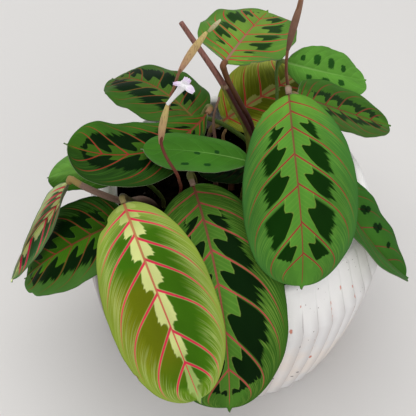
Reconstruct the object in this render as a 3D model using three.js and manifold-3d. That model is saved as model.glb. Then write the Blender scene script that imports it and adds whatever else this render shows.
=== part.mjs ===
// A potted prayer plant (maranta): a white-washed pleated clay pot filled with soil, from which
// petioles rise, arch over and carry patterned leaf blades, with two slim flower stalks.
// Millimetres, +Z up. The origin is the centre of the pot's flat foot. -Y is the plant's front.
import * as THREE from "three";
import { mergeVertices } from "three/addons/utils/BufferGeometryUtils.js";
import Module from "manifold-3d";

const wasm = await Module();
wasm.setup();

// ---------------------------------------------------------------- driving dimensions
const SEAT_GAP = 0.35; // between pieces that touch on the real plant

const POT = {
  height: 117,
  rimRadius: 80,
  bellyRadius: 94,
  bellyHeight: 84,
  footRadius: 83,
  belly: 10, // how far the lower wall bows out between foot and belly, times s(1 - s)
  rimWall: 6,
  wall: 7,
  floor: 7,
  footRound: 2,
  pleats: 54,
  pleatDepth: 2.2,
  pleatCrest: 0.78, // where the crest stands between two creases
  firstCrease: 4.3, // degrees from the front towards +X
};

const SOIL = { top: 80, crown: 3, clods: 48 };

const BLADE_THICKNESS = 0.8;
const BLADE_TIP = { share: 0.05, width: 0.16 }; // the little drip point past the oval
const LARGE_BLADE = { along: 14, across: 6 };
const SMALL_BLADE = { along: 10, across: 4 };

const ROOT_DEPTH = 14; // how far each stem stands in the soil
const PETIOLE = { radius: 1.4, knuckle: 1.9, knuckleLength: 9, sides: 7, steps: 12 };

// Each leaf: base is where the petiole meets the blade. heading is the compass angle of the
// midrib from +X towards +Y, rise its slope there, and droop and swerve what both change by on
// the way to the tip. roll and twist turn the blade about its midrib, fold lifts both halves
// into a V, arch curls their margins down, and bulge is where the blade is widest. root is
// where the petiole leaves the soil, and via are places that it passes on the way.
const LEAVES = [
  {
    name: "front_left", base: [-63, -56, 159], heading: -63, rise: -18, droop: 37, swerve: 17,
    length: 120, width: 65, roll: 18, twist: -7, bulge: 0.53, fold: 8, arch: 45,
    wave: 1.0, waves: 3, root: [-34, -14], via: [[-49, -40, 134]],
    knee: [-62, -49, 155], colour: 0x6f8f2a,
  },
  {
    name: "front_centre", base: [-27, -28, 147], heading: -69, rise: -2, droop: 78, swerve: -1,
    length: 143, width: 77, roll: 9, twist: -6, bulge: 0.53, fold: 8, arch: 32,
    wave: 1.2, waves: 3, root: [-22, 2], via: [[-28, -12, 137]], colour: 0x2c6b25,
  },
  {
    name: "front_right", base: [19, -7, 207], heading: -81, rise: -15, droop: 69, swerve: 21,
    length: 116, width: 67, roll: 25, twist: -10, bulge: 0.54, fold: 6, arch: 45,
    wave: 0.8, waves: 3, root: [24, 6], via: [[22, 8, 180]],
    knee: [19.5, -1.5, 202], colour: 0x3f8a33,
  },
  {
    name: "right_low", base: [50, -12, 154], heading: -40, rise: -49, droop: -7, swerve: 39,
    length: 91, width: 41, roll: -7, twist: -6, bulge: 0.55, fold: 27, arch: 19,
    wave: 0.8, waves: 3, root: [34, 2], via: [[42, -6, 148]], colour: 0x2f6b2c,
  },
  {
    name: "left_low", base: [-63, -40, 126], heading: -155, rise: -18, droop: 46, swerve: -28,
    length: 85, width: 53, roll: -15, twist: 7, bulge: 0.48, fold: 10, arch: 21,
    wave: 1.0, waves: 3, root: [-44, -24], via: [[-52, -34, 118]], colour: 0x2a5f22,
  },
  {
    name: "left_edge", base: [-98, -31, 141], heading: -195, rise: -79, droop: -63, swerve: 105,
    length: 81, width: 25, roll: -53, twist: 3, bulge: 0.44, fold: 63, arch: 7,
    wave: 0.6, waves: 3, root: [-48, -4], via: [[-56, -24, 125], [-66, -36, 136], [-80, -37, 142]],
    knee: [-91, -34, 144], colour: 0x6a9a4a, stem: 1.9,
  },
  {
    name: "left_small", base: [-66, -14, 133], heading: 168, rise: 7, droop: 54, swerve: 10,
    length: 56, width: 31, roll: 2, twist: -10, bulge: 0.51, fold: 5, arch: 30,
    wave: 0.6, waves: 2, root: [-46, 6], via: [[-58, -12, 128]], small: true, colour: 0x4f9a3c,
  },
  {
    name: "left", base: [-24, 7, 171], heading: -116, rise: -10, droop: -30, swerve: -70,
    length: 93, width: 49, roll: 0, twist: 0, bulge: 0.68, fold: 20, arch: 38,
    wave: 0.8, waves: 3, root: [-29, 16], via: [[-29, 15, 148]], knee: [-24, 14, 169],
    colour: 0x2f7230,
  },
  {
    name: "back_left", base: [-32, 20, 152], heading: 129, rise: -1, droop: 44, swerve: 9,
    length: 93, width: 52, roll: 3, twist: -5, bulge: 0.43, fold: 10, arch: 35,
    wave: 1.2, waves: 3, root: [12, 30], via: [[3, 27, 128], [-6, 26, 138], [-17, 25, 146]],
    knee: [-25, 22, 151], colour: 0x2f6a28,
  },
  {
    name: "centre_small", base: [4, -28, 173], heading: 178, rise: 11, droop: 15, swerve: 10,
    length: 62, width: 33, roll: 6, twist: 5, bulge: 0.6, fold: 8, arch: 25,
    wave: 0.5, waves: 2, root: [8, -14], via: [[9, -24, 160]], small: true, colour: 0x3f8a38,
  },
  {
    name: "top", base: [-17, 16, 204], heading: 75, rise: -15, droop: 12, swerve: 0,
    length: 97, width: 56, roll: 4, twist: -7, bulge: 0.51, fold: 8, arch: 20,
    wave: 1.4, waves: 3, root: [12, 22], via: [[3, 21, 150], [-5, 20, 168], [-13, 18.5, 185]],
    knee: [-17, 14.5, 199], stem: 1.7, colour: 0x4a9136,
  },
  {
    name: "back_centre", base: [-14, 38, 134], heading: 36, rise: 20, droop: 66, swerve: 35,
    length: 109, width: 62, roll: 12, twist: -16, bulge: 0.5, fold: 10, arch: 40,
    wave: 0.8, waves: 3, root: [-20, 34], via: [], colour: 0x6a7f22,
  },
  {
    name: "back_right", base: [21, 71, 158], heading: 8, rise: -19, droop: 13, swerve: 29,
    length: 67, width: 33, roll: 44, twist: -26, bulge: 0.5, fold: 14, arch: 18,
    wave: 0.6, waves: 3, root: [20, 16], via: [[19, 20, 135], [17.5, 36, 147], [16.6, 50, 153]],
    knee: [15, 62, 160], stem: 1.0, colour: 0x58a53c,
  },
  {
    name: "right", base: [28, 36, 165], heading: 24, rise: -34, droop: -4, swerve: -3,
    length: 84, width: 38, roll: 14, twist: -8, bulge: 0.47, fold: 16, arch: 21,
    wave: 0.6, waves: 3, root: [36, 22], via: [[31, 27, 135], [24, 31, 156]], knee: [22.5, 33, 166],
    colour: 0x2f6a2a,
  },
  {
    name: "inner", base: [8, -2, 136], heading: 184, rise: 14, droop: 30, swerve: -6,
    length: 36, width: 24, roll: -4, twist: 0, bulge: 0.52, fold: 8, arch: 25,
    wave: 0.4, waves: 2, root: [14, -6], via: [], small: true, colour: 0x1e4a1c,
  },
];

// The other stems, each a path of places from the soil up, with its radius at foot and tip.
const STEMS = [
  {
    name: "cut_cane", radius: [3.3, 1.4], steps: 14, colour: 0x7a5347,
    path: [[5, 14], [5, 14, 130], [0.5, 14, 154], [-9, 14, 173], [-17.5, 14, 190], [-43, 18, 227]],
  },
  {
    name: "flower_stalk", radius: [1.1, 0.7], steps: 26, colour: 0x7a3a2a,
    path: [
      [-38, -8], [-34, -27, 142], [-34.8, -38, 162], [-36.3, -48.5, 181], [-42.5, -46.5, 191],
      [-45.5, -42.5, 196], [-45, -41, 206], [-43, -39, 221], [-39, -37, 243], [-36, -35, 251],
      [-32, -34, 258], [-28.5, -33, 264],
    ],
  },
  {
    name: "flower_scape", radius: [1.1, 0.8], steps: 16, colour: 0x5f3a2c,
    path: [[27, 14], [26, 14, 130], [21, 14, 185], [17, 14, 205], [16, 15, 217], [18, 18, 253]],
  },
  {
    name: "rolled_leaf", radius: [2.0, 0.6], steps: 10, colour: 0x8a5a55,
    path: [[-14, 18], [-15, 17, 120], [-20, 15, 160], [-18, 15, 177]],
  },
  {
    name: "dry_sheath", radius: [2.4, 0.9], steps: 10, colour: 0xa8672f,
    path: [[-4, 28], [-7, 27, 112], [-13, 26, 132], [-12, 25, 140]],
  },
  {
    name: "pink_sheath", radius: [2.2, 0.8], steps: 8, colour: 0xa4605a,
    path: [[14, 10], [11, 15, 125], [6, 14, 146], [8, 15, 156]],
  },
];

// Papery bracts wrapped round a stalk: a spindle from one place to another, widest at middle.
const BRACTS = [
  {
    name: "bract_low", on: "flower_stalk", radius: 1.6, colour: 0xb08a52,
    path: [[-46, -41, 194], [-45.5, -41, 207], [-43.5, -41, 224]],
  },
  {
    name: "bract_high", on: "flower_stalk", radius: 1.6, colour: 0xb58f5a,
    path: [[-39, -36.6, 243], [-33.2, -34.2, 256], [-27.5, -32.4, 267]],
  },
  {
    name: "bract_scape", on: "flower_scape", radius: 1.7, colour: 0x6f4636,
    path: [[16, 15, 219], [17, 16.5, 234], [19, 18.5, 252]],
  },
];

const FLOWER = {
  throat: [-35.6, -43, 241.5],
  foot: [-43.4, -41.4, 224.8],
  tube: [1.0, 2.4],
  petals: [
    { towards: [-5.5, -1.5, 1], width: 2.5 },
    { towards: [0.5, 1.2, 3.6], width: 3.2 },
    { towards: [2.6, 1, 2.6], width: 2.8 },
    { towards: [5, -3, -2], width: 4 },
  ],
};
const FLOWER_BUD = { foot: [-26.6, -31.9, 267.2], tip: [-21.5, -31, 274.5], radius: 0.8 };

// ---------------------------------------------------------------- helpers
const rad = THREE.MathUtils.degToRad;
const vec = (p) => new THREE.Vector3(...p);

// Only positions, with shared vertices merged.
function bare(geometry) {
  const g = geometry.clone();
  g.deleteAttribute("normal");
  g.deleteAttribute("uv");
  return mergeVertices(g, 1e-3);
}

function toSolid(geometry) {
  const g = bare(geometry);
  const vertProperties = new Float32Array(g.getAttribute("position").array);
  const triVerts = new Uint32Array(g.index.array);
  return new wasm.Manifold(new wasm.Mesh({ numProp: 3, vertProperties, triVerts }));
}

function toGeometry(solid) {
  const mesh = solid.getMesh();
  const g = new THREE.BufferGeometry();
  g.setAttribute("position", new THREE.Float32BufferAttribute(mesh.vertProperties, 3));
  g.setIndex(new THREE.BufferAttribute(mesh.triVerts, 1));
  return g;
}

function meshOf(name, geometry, colour, roughness) {
  const flat = geometry.index ? geometry.toNonIndexed() : geometry;
  flat.computeVertexNormals();
  const material = new THREE.MeshStandardMaterial({ color: colour, roughness, metalness: 0 });
  const mesh = new THREE.Mesh(flat, material);
  mesh.name = name;
  return mesh;
}

// A closed thin sheet round the surface point(u, v), u from 0 to 1 and v from -1 to 1. Both
// faces are split into triangles alike, so that they never cross.
function sheet(point, along, across, thickness) {
  const places = [];
  const step = 1e-3;
  for (let i = 0; i <= along; i++) {
    const u = (1 - Math.cos((Math.PI * i) / along)) / 2;
    for (let j = 0; j <= across; j++) {
      const v = (2 * j) / across - 1;
      const du = point(Math.min(u + step, 1), v).sub(point(Math.max(u - step, 0), v));
      const dv = point(u, Math.min(v + step, 1)).sub(point(u, Math.max(v - step, -1)));
      const out = du.cross(dv).normalize().multiplyScalar(thickness / 2);
      places.push([point(u, v).add(out), point(u, v).sub(out)]);
    }
  }
  const row = across + 1;
  const at = (i, j, side) => 2 * (i * row + j) + side;
  const index = [];
  const quad = (a, b, c, d) => index.push(a, b, c, a, c, d);
  for (let i = 0; i < along; i++) {
    for (let j = 0; j < across; j++) {
      const [a, b, c, d] = [at(i, j, 0), at(i + 1, j, 0), at(i + 1, j + 1, 0), at(i, j + 1, 0)];
      index.push(a, b, c, a, c, d, a + 1, c + 1, b + 1, a + 1, d + 1, c + 1);
    }
    quad(at(i, 0, 0), at(i, 0, 1), at(i + 1, 0, 1), at(i + 1, 0, 0));
    quad(at(i + 1, across, 0), at(i + 1, across, 1), at(i, across, 1), at(i, across, 0));
  }
  for (let j = 0; j < across; j++) {
    quad(at(0, j + 1, 0), at(0, j + 1, 1), at(0, j, 1), at(0, j, 0));
    quad(at(along, j, 0), at(along, j, 1), at(along, j + 1, 1), at(along, j + 1, 0));
  }
  const g = new THREE.BufferGeometry();
  const flat = places.flat().flatMap((p) => p.toArray());
  g.setAttribute("position", new THREE.Float32BufferAttribute(flat, 3));
  g.setIndex(index);
  return g;
}

// A closed round stem along a curve: a unit cylinder whose rings are set along it.
function stem(curve, radiusAt, sides, steps) {
  const frames = curve.computeFrenetFrames(steps);
  const g = bare(new THREE.CylinderGeometry(1, 1, 1, sides, steps));
  const places = g.getAttribute("position");
  for (let i = 0; i < places.count; i++) {
    const ring = Math.round((places.getY(i) + 0.5) * steps);
    const r = radiusAt(ring / steps);
    const p = curve.getPointAt(ring / steps);
    p.addScaledVector(frames.binormals[ring], places.getX(i) * r);
    p.addScaledVector(frames.normals[ring], places.getZ(i) * r);
    places.setXYZ(i, p.x, p.y, p.z);
  }
  return g;
}

const smooth = (points) => new THREE.CatmullRomCurve3(points, false, "centripetal");

// ---------------------------------------------------------------- the pot
// The wall's radius at a height, before its pleats.
function potRadius(z) {
  const { footRadius, bellyRadius, bellyHeight, belly, height, rimRadius } = POT;
  if (z < bellyHeight) {
    const s = z / bellyHeight;
    return footRadius + (bellyRadius - footRadius) * s + belly * s * (1 - s);
  }
  const s = (z - bellyHeight) / (height - bellyHeight);
  return bellyRadius + (rimRadius - bellyRadius) * s;
}

function potGeometry() {
  const { height, rimRadius, rimWall, wall, floor, pleats, footRound, bellyHeight } = POT;
  const rings = [
    { r: POT.footRadius - 20, z: 0, depth: 0 },
    { r: POT.footRadius - footRound, z: 0, depth: 0.3 },
    ...[footRound, 22, 43, 64, bellyHeight].map((z) => ({ r: potRadius(z), z, depth: 1 })),
    { r: potRadius(100), z: 100, depth: 0.35 },
    { r: rimRadius, z: height - 1.5, depth: 0.15 },
    { r: rimRadius - 1.5, z: height, depth: 0 },
    { r: rimRadius - rimWall + 1, z: height, depth: 0 },
    { r: rimRadius - rimWall, z: height - 1.5, depth: 0 },
    { r: POT.bellyRadius - wall, z: bellyHeight - 2, depth: 0 },
    { r: potRadius(40) - wall, z: 40, depth: 0 },
    { r: potRadius(floor) - wall, z: floor, depth: 0 },
  ];
  const columns = 2 * pleats;
  const turn = 360 / pleats;
  const position = [0, 0, 0];
  for (const { r, z, depth } of rings) {
    for (let j = 0; j < columns; j++) {
      const crest = j % 2;
      const degrees = POT.firstCrease + turn * (Math.floor(j / 2) + crest * POT.pleatCrest);
      const reach = r - (crest ? 0 : POT.pleatDepth * depth);
      position.push(reach * Math.sin(rad(degrees)), -reach * Math.cos(rad(degrees)), z);
    }
  }
  position.push(0, 0, floor);
  const last = position.length / 3 - 1;
  const at = (i, j) => 1 + i * columns + (j % columns);
  const index = [];
  for (let j = 0; j < columns; j++) {
    index.push(0, at(0, j + 1), at(0, j));
    for (let i = 0; i + 1 < rings.length; i++) {
      index.push(at(i, j), at(i, j + 1), at(i + 1, j + 1), at(i, j), at(i + 1, j + 1), at(i + 1, j));
    }
    index.push(last, at(rings.length - 1, j), at(rings.length - 1, j + 1));
  }
  const g = new THREE.BufferGeometry();
  g.setAttribute("position", new THREE.Float32BufferAttribute(position, 3));
  g.setIndex(index);
  return g;
}

// ---------------------------------------------------------------- leaf blades
// Half the blade's width at u, as a share of half its full width: an oval with a drip point.
function outline(u, bulge) {
  const body = Math.min(u / (1 - BLADE_TIP.share / 2), 1);
  const q = body ** (Math.log(0.5) / Math.log(bulge));
  const oval = Math.sqrt(Math.max(1 - Math.abs(2 * q - 1) ** 2.2, 0));
  const tip = u > 0.5 ? (BLADE_TIP.width * (1 - u)) / BLADE_TIP.share / 2 : 0;
  return Math.max(oval, Math.min(tip, BLADE_TIP.width));
}

// The directions along the midrib, across the blade and out of its face, at u.
function bladeFrame(leaf, u) {
  const pitch = rad(leaf.rise - leaf.droop * u);
  const compass = rad(leaf.heading + leaf.swerve * u);
  const along = new THREE.Vector3(
    Math.cos(pitch) * Math.cos(compass),
    Math.cos(pitch) * Math.sin(compass),
    Math.sin(pitch),
  );
  const level = new THREE.Vector3(-Math.sin(compass), Math.cos(compass), 0);
  const across = level.applyAxisAngle(along, rad(leaf.roll + leaf.twist * u));
  return { along, across, face: along.clone().cross(across) };
}

// The midrib's point at u, by adding up its short straight steps.
function midrib(leaf, u) {
  const steps = 48;
  const p = vec(leaf.base);
  for (let i = 0; i < steps && i / steps < u; i++) {
    const share = Math.min(u - i / steps, 1 / steps);
    p.addScaledVector(bladeFrame(leaf, (i + 0.5) / steps).along, leaf.length * share);
  }
  return p;
}

function bladePoint(leaf, u, v) {
  const { across, face } = bladeFrame(leaf, u);
  const side = Math.sign(v);
  const reach = Math.abs(v) * Math.max((leaf.width / 2) * outline(u, leaf.bulge), 0.9);
  const curl = rad(leaf.arch) / (leaf.width / 2);
  const fold = rad(leaf.fold);
  const out = (Math.sin(fold) - Math.sin(fold - curl * reach)) / curl;
  const up = (Math.cos(fold - curl * reach) - Math.cos(fold)) / curl;
  const ripple = leaf.wave * v * v * Math.sin(2 * Math.PI * leaf.waves * u + side);
  return midrib(leaf, u).addScaledVector(across, side * out).addScaledVector(face, up + ripple);
}

function bladeGeometry(leaf) {
  const { along, across } = leaf.small ? SMALL_BLADE : LARGE_BLADE;
  return sheet((u, v) => bladePoint(leaf, u, v), along, across, BLADE_THICKNESS);
}

// ---------------------------------------------------------------- stems
// The path of a stem: straight up out of the soil, then through its places.
function pathFromSoil([x, y], places, spare = 0) {
  const foot = new THREE.Vector3(x, y, SOIL.top - ROOT_DEPTH - spare);
  return smooth([foot, new THREE.Vector3(x, y, SOIL.top + 8), ...places.map(vec)]);
}

// A petiole ends in a short thick knuckle just short of the blade's base.
function petiole(leaf, grow = 0) {
  const { along } = bladeFrame(leaf, 0);
  const base = vec(leaf.base);
  const before = (distance) => base.clone().addScaledVector(along, -distance).toArray();
  const places = [leaf.knee ?? before(PETIOLE.knuckleLength), before(4), before(SEAT_GAP + 0.4)];
  const curve = pathFromSoil(leaf.root, [...leaf.via, ...places], grow);
  const slim = leaf.stem ?? PETIOLE.radius;
  const start = 1 - (1.3 * PETIOLE.knuckleLength) / curve.getLength();
  const radiusAt = (t) => {
    const s = Math.max((t - start) / (1 - start), 0);
    return slim + (PETIOLE.knuckle - slim) * Math.sin(Math.PI * Math.min(s, 0.75)) ** 2 + grow;
  };
  return stem(curve, radiusAt, PETIOLE.sides, PETIOLE.steps);
}

function plainStem({ path, radius, steps }, grow = 0) {
  const [root, ...places] = path;
  const radiusAt = (t) => THREE.MathUtils.lerp(radius[0], radius[1], t) + grow;
  return stem(pathFromSoil(root, places, grow), radiusAt, PETIOLE.sides, steps);
}

function bract({ path, radius, on }) {
  const spindle = (t) => 0.5 + radius * Math.sin(Math.PI * (0.08 + 0.84 * t)) ** 0.8;
  const body = toSolid(stem(smooth(path.map(vec)), spindle, 8, 8));
  const carrier = STEMS.find((s) => s.name === on);
  const cut = body.subtract(toSolid(plainStem(carrier, SEAT_GAP)));
  const pieces = cut.decompose().sort((a, b) => b.volume() - a.volume());
  return toGeometry(pieces[0]);
}

// ---------------------------------------------------------------- flower
function petal(from, { towards, width }) {
  const start = vec(from);
  const reach = vec(towards);
  const side = reach.clone().cross(new THREE.Vector3(0.3, -0.6, 0.8)).normalize();
  const face = side.clone().cross(reach).normalize();
  const place = (u, v) => {
    const half = (width / 2) * (0.35 + 0.65 * Math.sin(Math.PI * (0.1 + 0.78 * u)));
    return start
      .clone()
      .addScaledVector(reach, u)
      .addScaledVector(side, v * half)
      .addScaledVector(face, Math.sin(Math.PI * u) * 0.8);
  };
  return toSolid(sheet(place, 5, 2, BLADE_THICKNESS));
}

function flowerGeometry() {
  const { foot, throat, tube, petals } = FLOWER;
  const curve = smooth([vec(foot), vec(foot).lerp(vec(throat), 0.5), vec(throat)]);
  const throatTube = stem(curve, (t) => THREE.MathUtils.lerp(tube[0], tube[1], t ** 2), 8, 5);
  const bloom = petals.reduce((solid, p) => solid.add(petal(throat, p)), toSolid(throatTube));
  return toGeometry(bloom);
}

function budGeometry() {
  const { foot, tip, radius } = FLOWER_BUD;
  const curve = smooth([vec(foot), vec(foot).lerp(vec(tip), 0.5), vec(tip)]);
  return stem(curve, (t) => 0.4 + radius * Math.sin(Math.PI * (0.15 + 0.8 * t)), 7, 6);
}

// ---------------------------------------------------------------- soil
function soilGeometry() {
  const inner = (z) => potRadius(z) - POT.wall - SEAT_GAP - 0.6;
  const bottom = POT.floor + SEAT_GAP;
  const profile = [
    [0, bottom],
    [inner(bottom) - 1.5, bottom],
    [inner(40), 40],
    [inner(SOIL.top) - 0.6, SOIL.top],
    [inner(SOIL.top) * 0.5, SOIL.top + SOIL.crown * 0.7],
    [0, SOIL.top + SOIL.crown],
  ].map(([x, y]) => new THREE.Vector2(x, y));
  const turned = new THREE.LatheGeometry(profile, SOIL.clods).rotateX(Math.PI / 2);
  let solid = toSolid(turned);
  for (const leaf of LEAVES) solid = solid.subtract(toSolid(petiole(leaf, SEAT_GAP)));
  for (const s of STEMS) solid = solid.subtract(toSolid(plainStem(s, SEAT_GAP)));
  return toGeometry(solid);
}

// ---------------------------------------------------------------- the assembly
const plant = new THREE.Group();
plant.name = "potted_maranta";
plant.add(meshOf("pot", potGeometry(), 0xf0e8e0, 0.85));
plant.add(meshOf("soil", soilGeometry(), 0x1c1511, 1));
for (const leaf of LEAVES) {
  plant.add(meshOf(`leaf_${leaf.name}`, bladeGeometry(leaf), leaf.colour, 0.45));
  plant.add(meshOf(`petiole_${leaf.name}`, petiole(leaf), 0x6b6a35, 0.6));
}
for (const s of STEMS) plant.add(meshOf(s.name, plainStem(s), s.colour, 0.6));
for (const b of BRACTS) plant.add(meshOf(b.name, bract(b), b.colour, 0.75));
plant.add(meshOf("flower", flowerGeometry(), 0xe8def0, 0.6));
plant.add(meshOf("flower_bud", budGeometry(), 0xd8cf9c, 0.6));

export default plant;
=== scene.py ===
# %% [markdown]
# # A prayer plant in a pleated clay pot
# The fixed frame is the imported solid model: a pot, its soil, fifteen leaves on their petioles and
# two flower stalks. This lesson keeps every piece where that frame has it, and gives it the finer
# skin that a plain solid can't hold: veins, feathered patterns, thin margins, fibres and lime wash.

# %% Load the frame
import math

import bmesh
import bpy
import numpy as np
from mathutils import Matrix, Vector

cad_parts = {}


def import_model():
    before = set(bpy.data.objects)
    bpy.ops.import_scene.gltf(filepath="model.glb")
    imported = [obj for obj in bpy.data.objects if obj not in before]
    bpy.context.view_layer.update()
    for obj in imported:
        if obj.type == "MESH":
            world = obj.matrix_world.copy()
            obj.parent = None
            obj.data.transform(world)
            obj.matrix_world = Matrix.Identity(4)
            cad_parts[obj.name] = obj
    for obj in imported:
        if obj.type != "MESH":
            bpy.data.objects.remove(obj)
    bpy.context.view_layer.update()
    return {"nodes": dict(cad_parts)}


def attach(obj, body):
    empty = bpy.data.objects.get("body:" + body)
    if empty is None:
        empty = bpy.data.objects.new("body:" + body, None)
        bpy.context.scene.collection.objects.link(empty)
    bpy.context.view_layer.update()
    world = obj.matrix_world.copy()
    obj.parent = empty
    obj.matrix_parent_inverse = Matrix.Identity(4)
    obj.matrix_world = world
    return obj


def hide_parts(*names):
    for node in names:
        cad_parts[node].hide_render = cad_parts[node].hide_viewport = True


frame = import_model()
MM = 0.001
print("frame nodes:", len(frame["nodes"]))

# %% [markdown]
# ## The camera
# The picture looks down on the plant at about 51 degrees, turned a little clockwise. Its focal
# length and distance were found from the ellipse of the pot's rim, so they are fixed numbers here.
# The camera's three axes are worked out first and go straight into its matrix.

# %% Camera
AIM = Vector((-17.3, 0, 93.8)) * MM
AIM_DISTANCE = 650 * MM
LOOK_DOWN = math.radians(51.2)
CAMERA_ROLL = math.radians(6.5)
FOCAL_PIXELS = 1036
PICTURE_PIXELS = 416
SENSOR = 36

forward = Vector((0, math.cos(LOOK_DOWN), -math.sin(LOOK_DOWN)))
level = Vector((1, 0, 0))
upright = level.cross(forward)
picture_x = math.cos(CAMERA_ROLL) * level + math.sin(CAMERA_ROLL) * upright
picture_y = picture_x.cross(forward)
lens = bpy.data.cameras.new("camera")
lens.sensor_width = SENSOR
lens.lens = FOCAL_PIXELS / PICTURE_PIXELS * SENSOR
lens.clip_start = 0.01
camera = bpy.data.objects.new("camera", lens)
turn = Matrix((picture_x, picture_y, -forward)).transposed().to_4x4()
camera.matrix_world = Matrix.Translation(AIM - forward * AIM_DISTANCE) @ turn
bpy.context.collection.objects.link(camera)
bpy.context.scene.camera = camera
print("lens:", round(lens.lens, 1), "mm")

# %% [markdown]
# ## Light and floor
# A plant on a table by a window is lit by one broad, high, nearly white source, and by the pale
# room all round. A large area lamp above, a little to the left and behind, gives the bright upper
# sides of the leaves and the white shoulder of the pot. A weaker one in front opens the shadows,
# and the world, a little bluer, does the rest. The floor is one plain pale sheet, which isn't part
# of the object.

# %% Lamps, world and floor
LAMP_AIM = Vector((0, 0, 0.12))
ROOM_COLOUR = (0.93, 0.96, 1, 1)
ROOM_STRENGTH = 0.5
FLOOR_SIDE = 6


def lamp(name, place, size, power, colour):
    light = bpy.data.lights.new(name, "AREA")
    light.size = size
    light.energy = power
    light.color = colour
    stand = bpy.data.objects.new(name, light)
    stand.location = place
    towards = LAMP_AIM - Vector(place)
    stand.rotation_euler = towards.to_track_quat("-Z", "Y").to_euler()
    bpy.context.collection.objects.link(stand)


def as_mesh(name, bm):
    """Turns a finished bmesh into mesh data."""
    mesh = bpy.data.meshes.new(name)
    bm.to_mesh(mesh)
    bm.free()
    return mesh


lamp("window", (-0.35, 0.25, 1.8), 2.0, 21, (1, 0.985, 0.96))
lamp("front_fill", (0.8, -1.5, 1.2), 1.8, 11, (1, 0.975, 0.95))
world = bpy.data.worlds.new("room")
world.use_nodes = True
room = world.node_tree.nodes["Background"].inputs
room["Color"].default_value = ROOM_COLOUR
room["Strength"].default_value = ROOM_STRENGTH
bpy.context.scene.world = world
bpy.context.scene.view_settings.view_transform = "Standard"

floor_bm = bmesh.new()
bmesh.ops.create_grid(floor_bm, x_segments=1, y_segments=1, size=FLOOR_SIDE / 2)
floor = bpy.data.objects.new("floor", as_mesh("floor", floor_bm))
bpy.context.collection.objects.link(floor)
print("lamps: 2, floor side:", FLOOR_SIDE, "m")

# %% [markdown]
# ## Shader maths as Python
# Patterns on leaves are formulas. Wiring a formula by hand takes dozens of Math nodes, so `Shade`
# wraps one socket and turns Python's operators into Math nodes. `Finish` holds one material and
# makes any other node from its type, its settings and the values or links of its sockets.

# %% A socket with operators
class Shade:
    def __init__(self, finish, socket):
        self.finish = finish
        self.socket = socket

    def maths(self, operation, *values, **settings):
        settings["operation"] = operation
        return self.finish.node("Math", settings, dict(enumerate(values)))

    def __add__(self, other):
        return self.maths("ADD", self, other)

    def __radd__(self, other):
        return self.maths("ADD", other, self)

    def __sub__(self, other):
        return self.maths("SUBTRACT", self, other)

    def __rsub__(self, other):
        return self.maths("SUBTRACT", other, self)

    def __mul__(self, other):
        return self.maths("MULTIPLY", self, other)

    def __rmul__(self, other):
        return self.maths("MULTIPLY", other, self)

    def __truediv__(self, other):
        return self.maths("DIVIDE", self, other)

    def __rtruediv__(self, other):
        return self.maths("DIVIDE", other, self)

    def __pow__(self, other):
        return self.maths("POWER", self, other)

    def __abs__(self):
        return self.maths("ABSOLUTE", self)

    def fraction(self):
        return self.maths("FRACT", self)

    def at_least(self, other):
        return self.maths("MAXIMUM", self, other)

    def at_most(self, other):
        return self.maths("MINIMUM", self, other)

    def above(self, edge, soft):
        """0 below the edge, 1 above it, over a soft width centred on it."""
        return self.maths("ADD", (self - edge) / soft, 0.5, use_clamp=True)

    def below(self, edge, soft):
        return self.maths("ADD", (edge - self) / soft, 0.5, use_clamp=True)


# %% A material made of nodes
def rgba(colour):
    return (*colour, 1)


class Finish:
    def __init__(self, name):
        self.material = bpy.data.materials.new(name)
        self.material.use_nodes = True
        self.tree = self.material.node_tree
        self.shader = self.tree.nodes["Principled BSDF"]

    def put(self, socket, value):
        if isinstance(value, Shade):
            self.tree.links.new(value.socket, socket)
        else:
            socket.default_value = value

    def node(self, kind, settings, sockets, output=0):
        made = self.tree.nodes.new("ShaderNode" + kind)
        for key, value in settings.items():
            if key == "stops":
                self.set_stops(made.color_ramp, value)
            else:
                setattr(made, key, value)
        for key, value in sockets.items():
            self.put(made.inputs[key], value)
        return Shade(self, made.outputs[output])

    def set_stops(self, ramp, stops):
        while len(ramp.elements) < len(stops):
            ramp.elements.new(0.5)
        for element, (place, level) in zip(ramp.elements, stops):
            element.position = place
            element.color = rgba((level,) * 3)

    def ramp(self, value, stops):
        return self.node("ValToRGB", {"stops": stops}, {0: value})

    def mix(self, a, b, factor):
        a = rgba(a) if isinstance(a, tuple) else a
        b = rgba(b) if isinstance(b, tuple) else b
        return self.node("Mix", {"data_type": "RGBA"}, {0: factor, 6: a, 7: b}, 2)

    def layers(self, colour, *coats):
        """Mixes each (colour, factor) coat over what lies below it."""
        for coat, factor in coats:
            colour = self.mix(colour, coat, factor)
        return colour

    def place(self):
        return self.node("TexCoord", {}, {}, "Object")

    def uv(self, name):
        return self.parts(self.node("UVMap", {"uv_map": name}, {}))

    def attribute(self, name):
        return self.node("Attribute", {"attribute_name": name}, {}, "Fac")

    def parts(self, vector):
        split = self.tree.nodes.new("ShaderNodeSeparateXYZ")
        self.put(split.inputs[0], vector)
        return [Shade(self, out) for out in split.outputs]

    def vector(self, x, y, z):
        return self.node("CombineXYZ", {}, {0: x, 1: y, 2: z})

    def scaled(self, vector, scale):
        return self.node("Mapping", {}, {"Vector": vector, "Scale": scale})

    def noise(self, vector, scale, detail, roughness=0.55):
        sockets = {"Vector": vector, "Scale": scale, "Detail": detail, "Roughness": roughness}
        return self.node("TexNoise", {}, sockets)

    def bump(self, height, distance, strength=1.0):
        return self.node("Bump", {}, {"Height": height, "Distance": distance, "Strength": strength})

    def done(self, **sockets):
        for name, value in sockets.items():
            self.put(self.shader.inputs[name.replace("_", " ")], value)
        return self.material


# %% Plain floor finish
floor_finish = Finish("pale_floor")
floor.data.materials.append(floor_finish.done(Base_Color=rgba((0.74, 0.72, 0.70)), Roughness=0.9))
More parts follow.
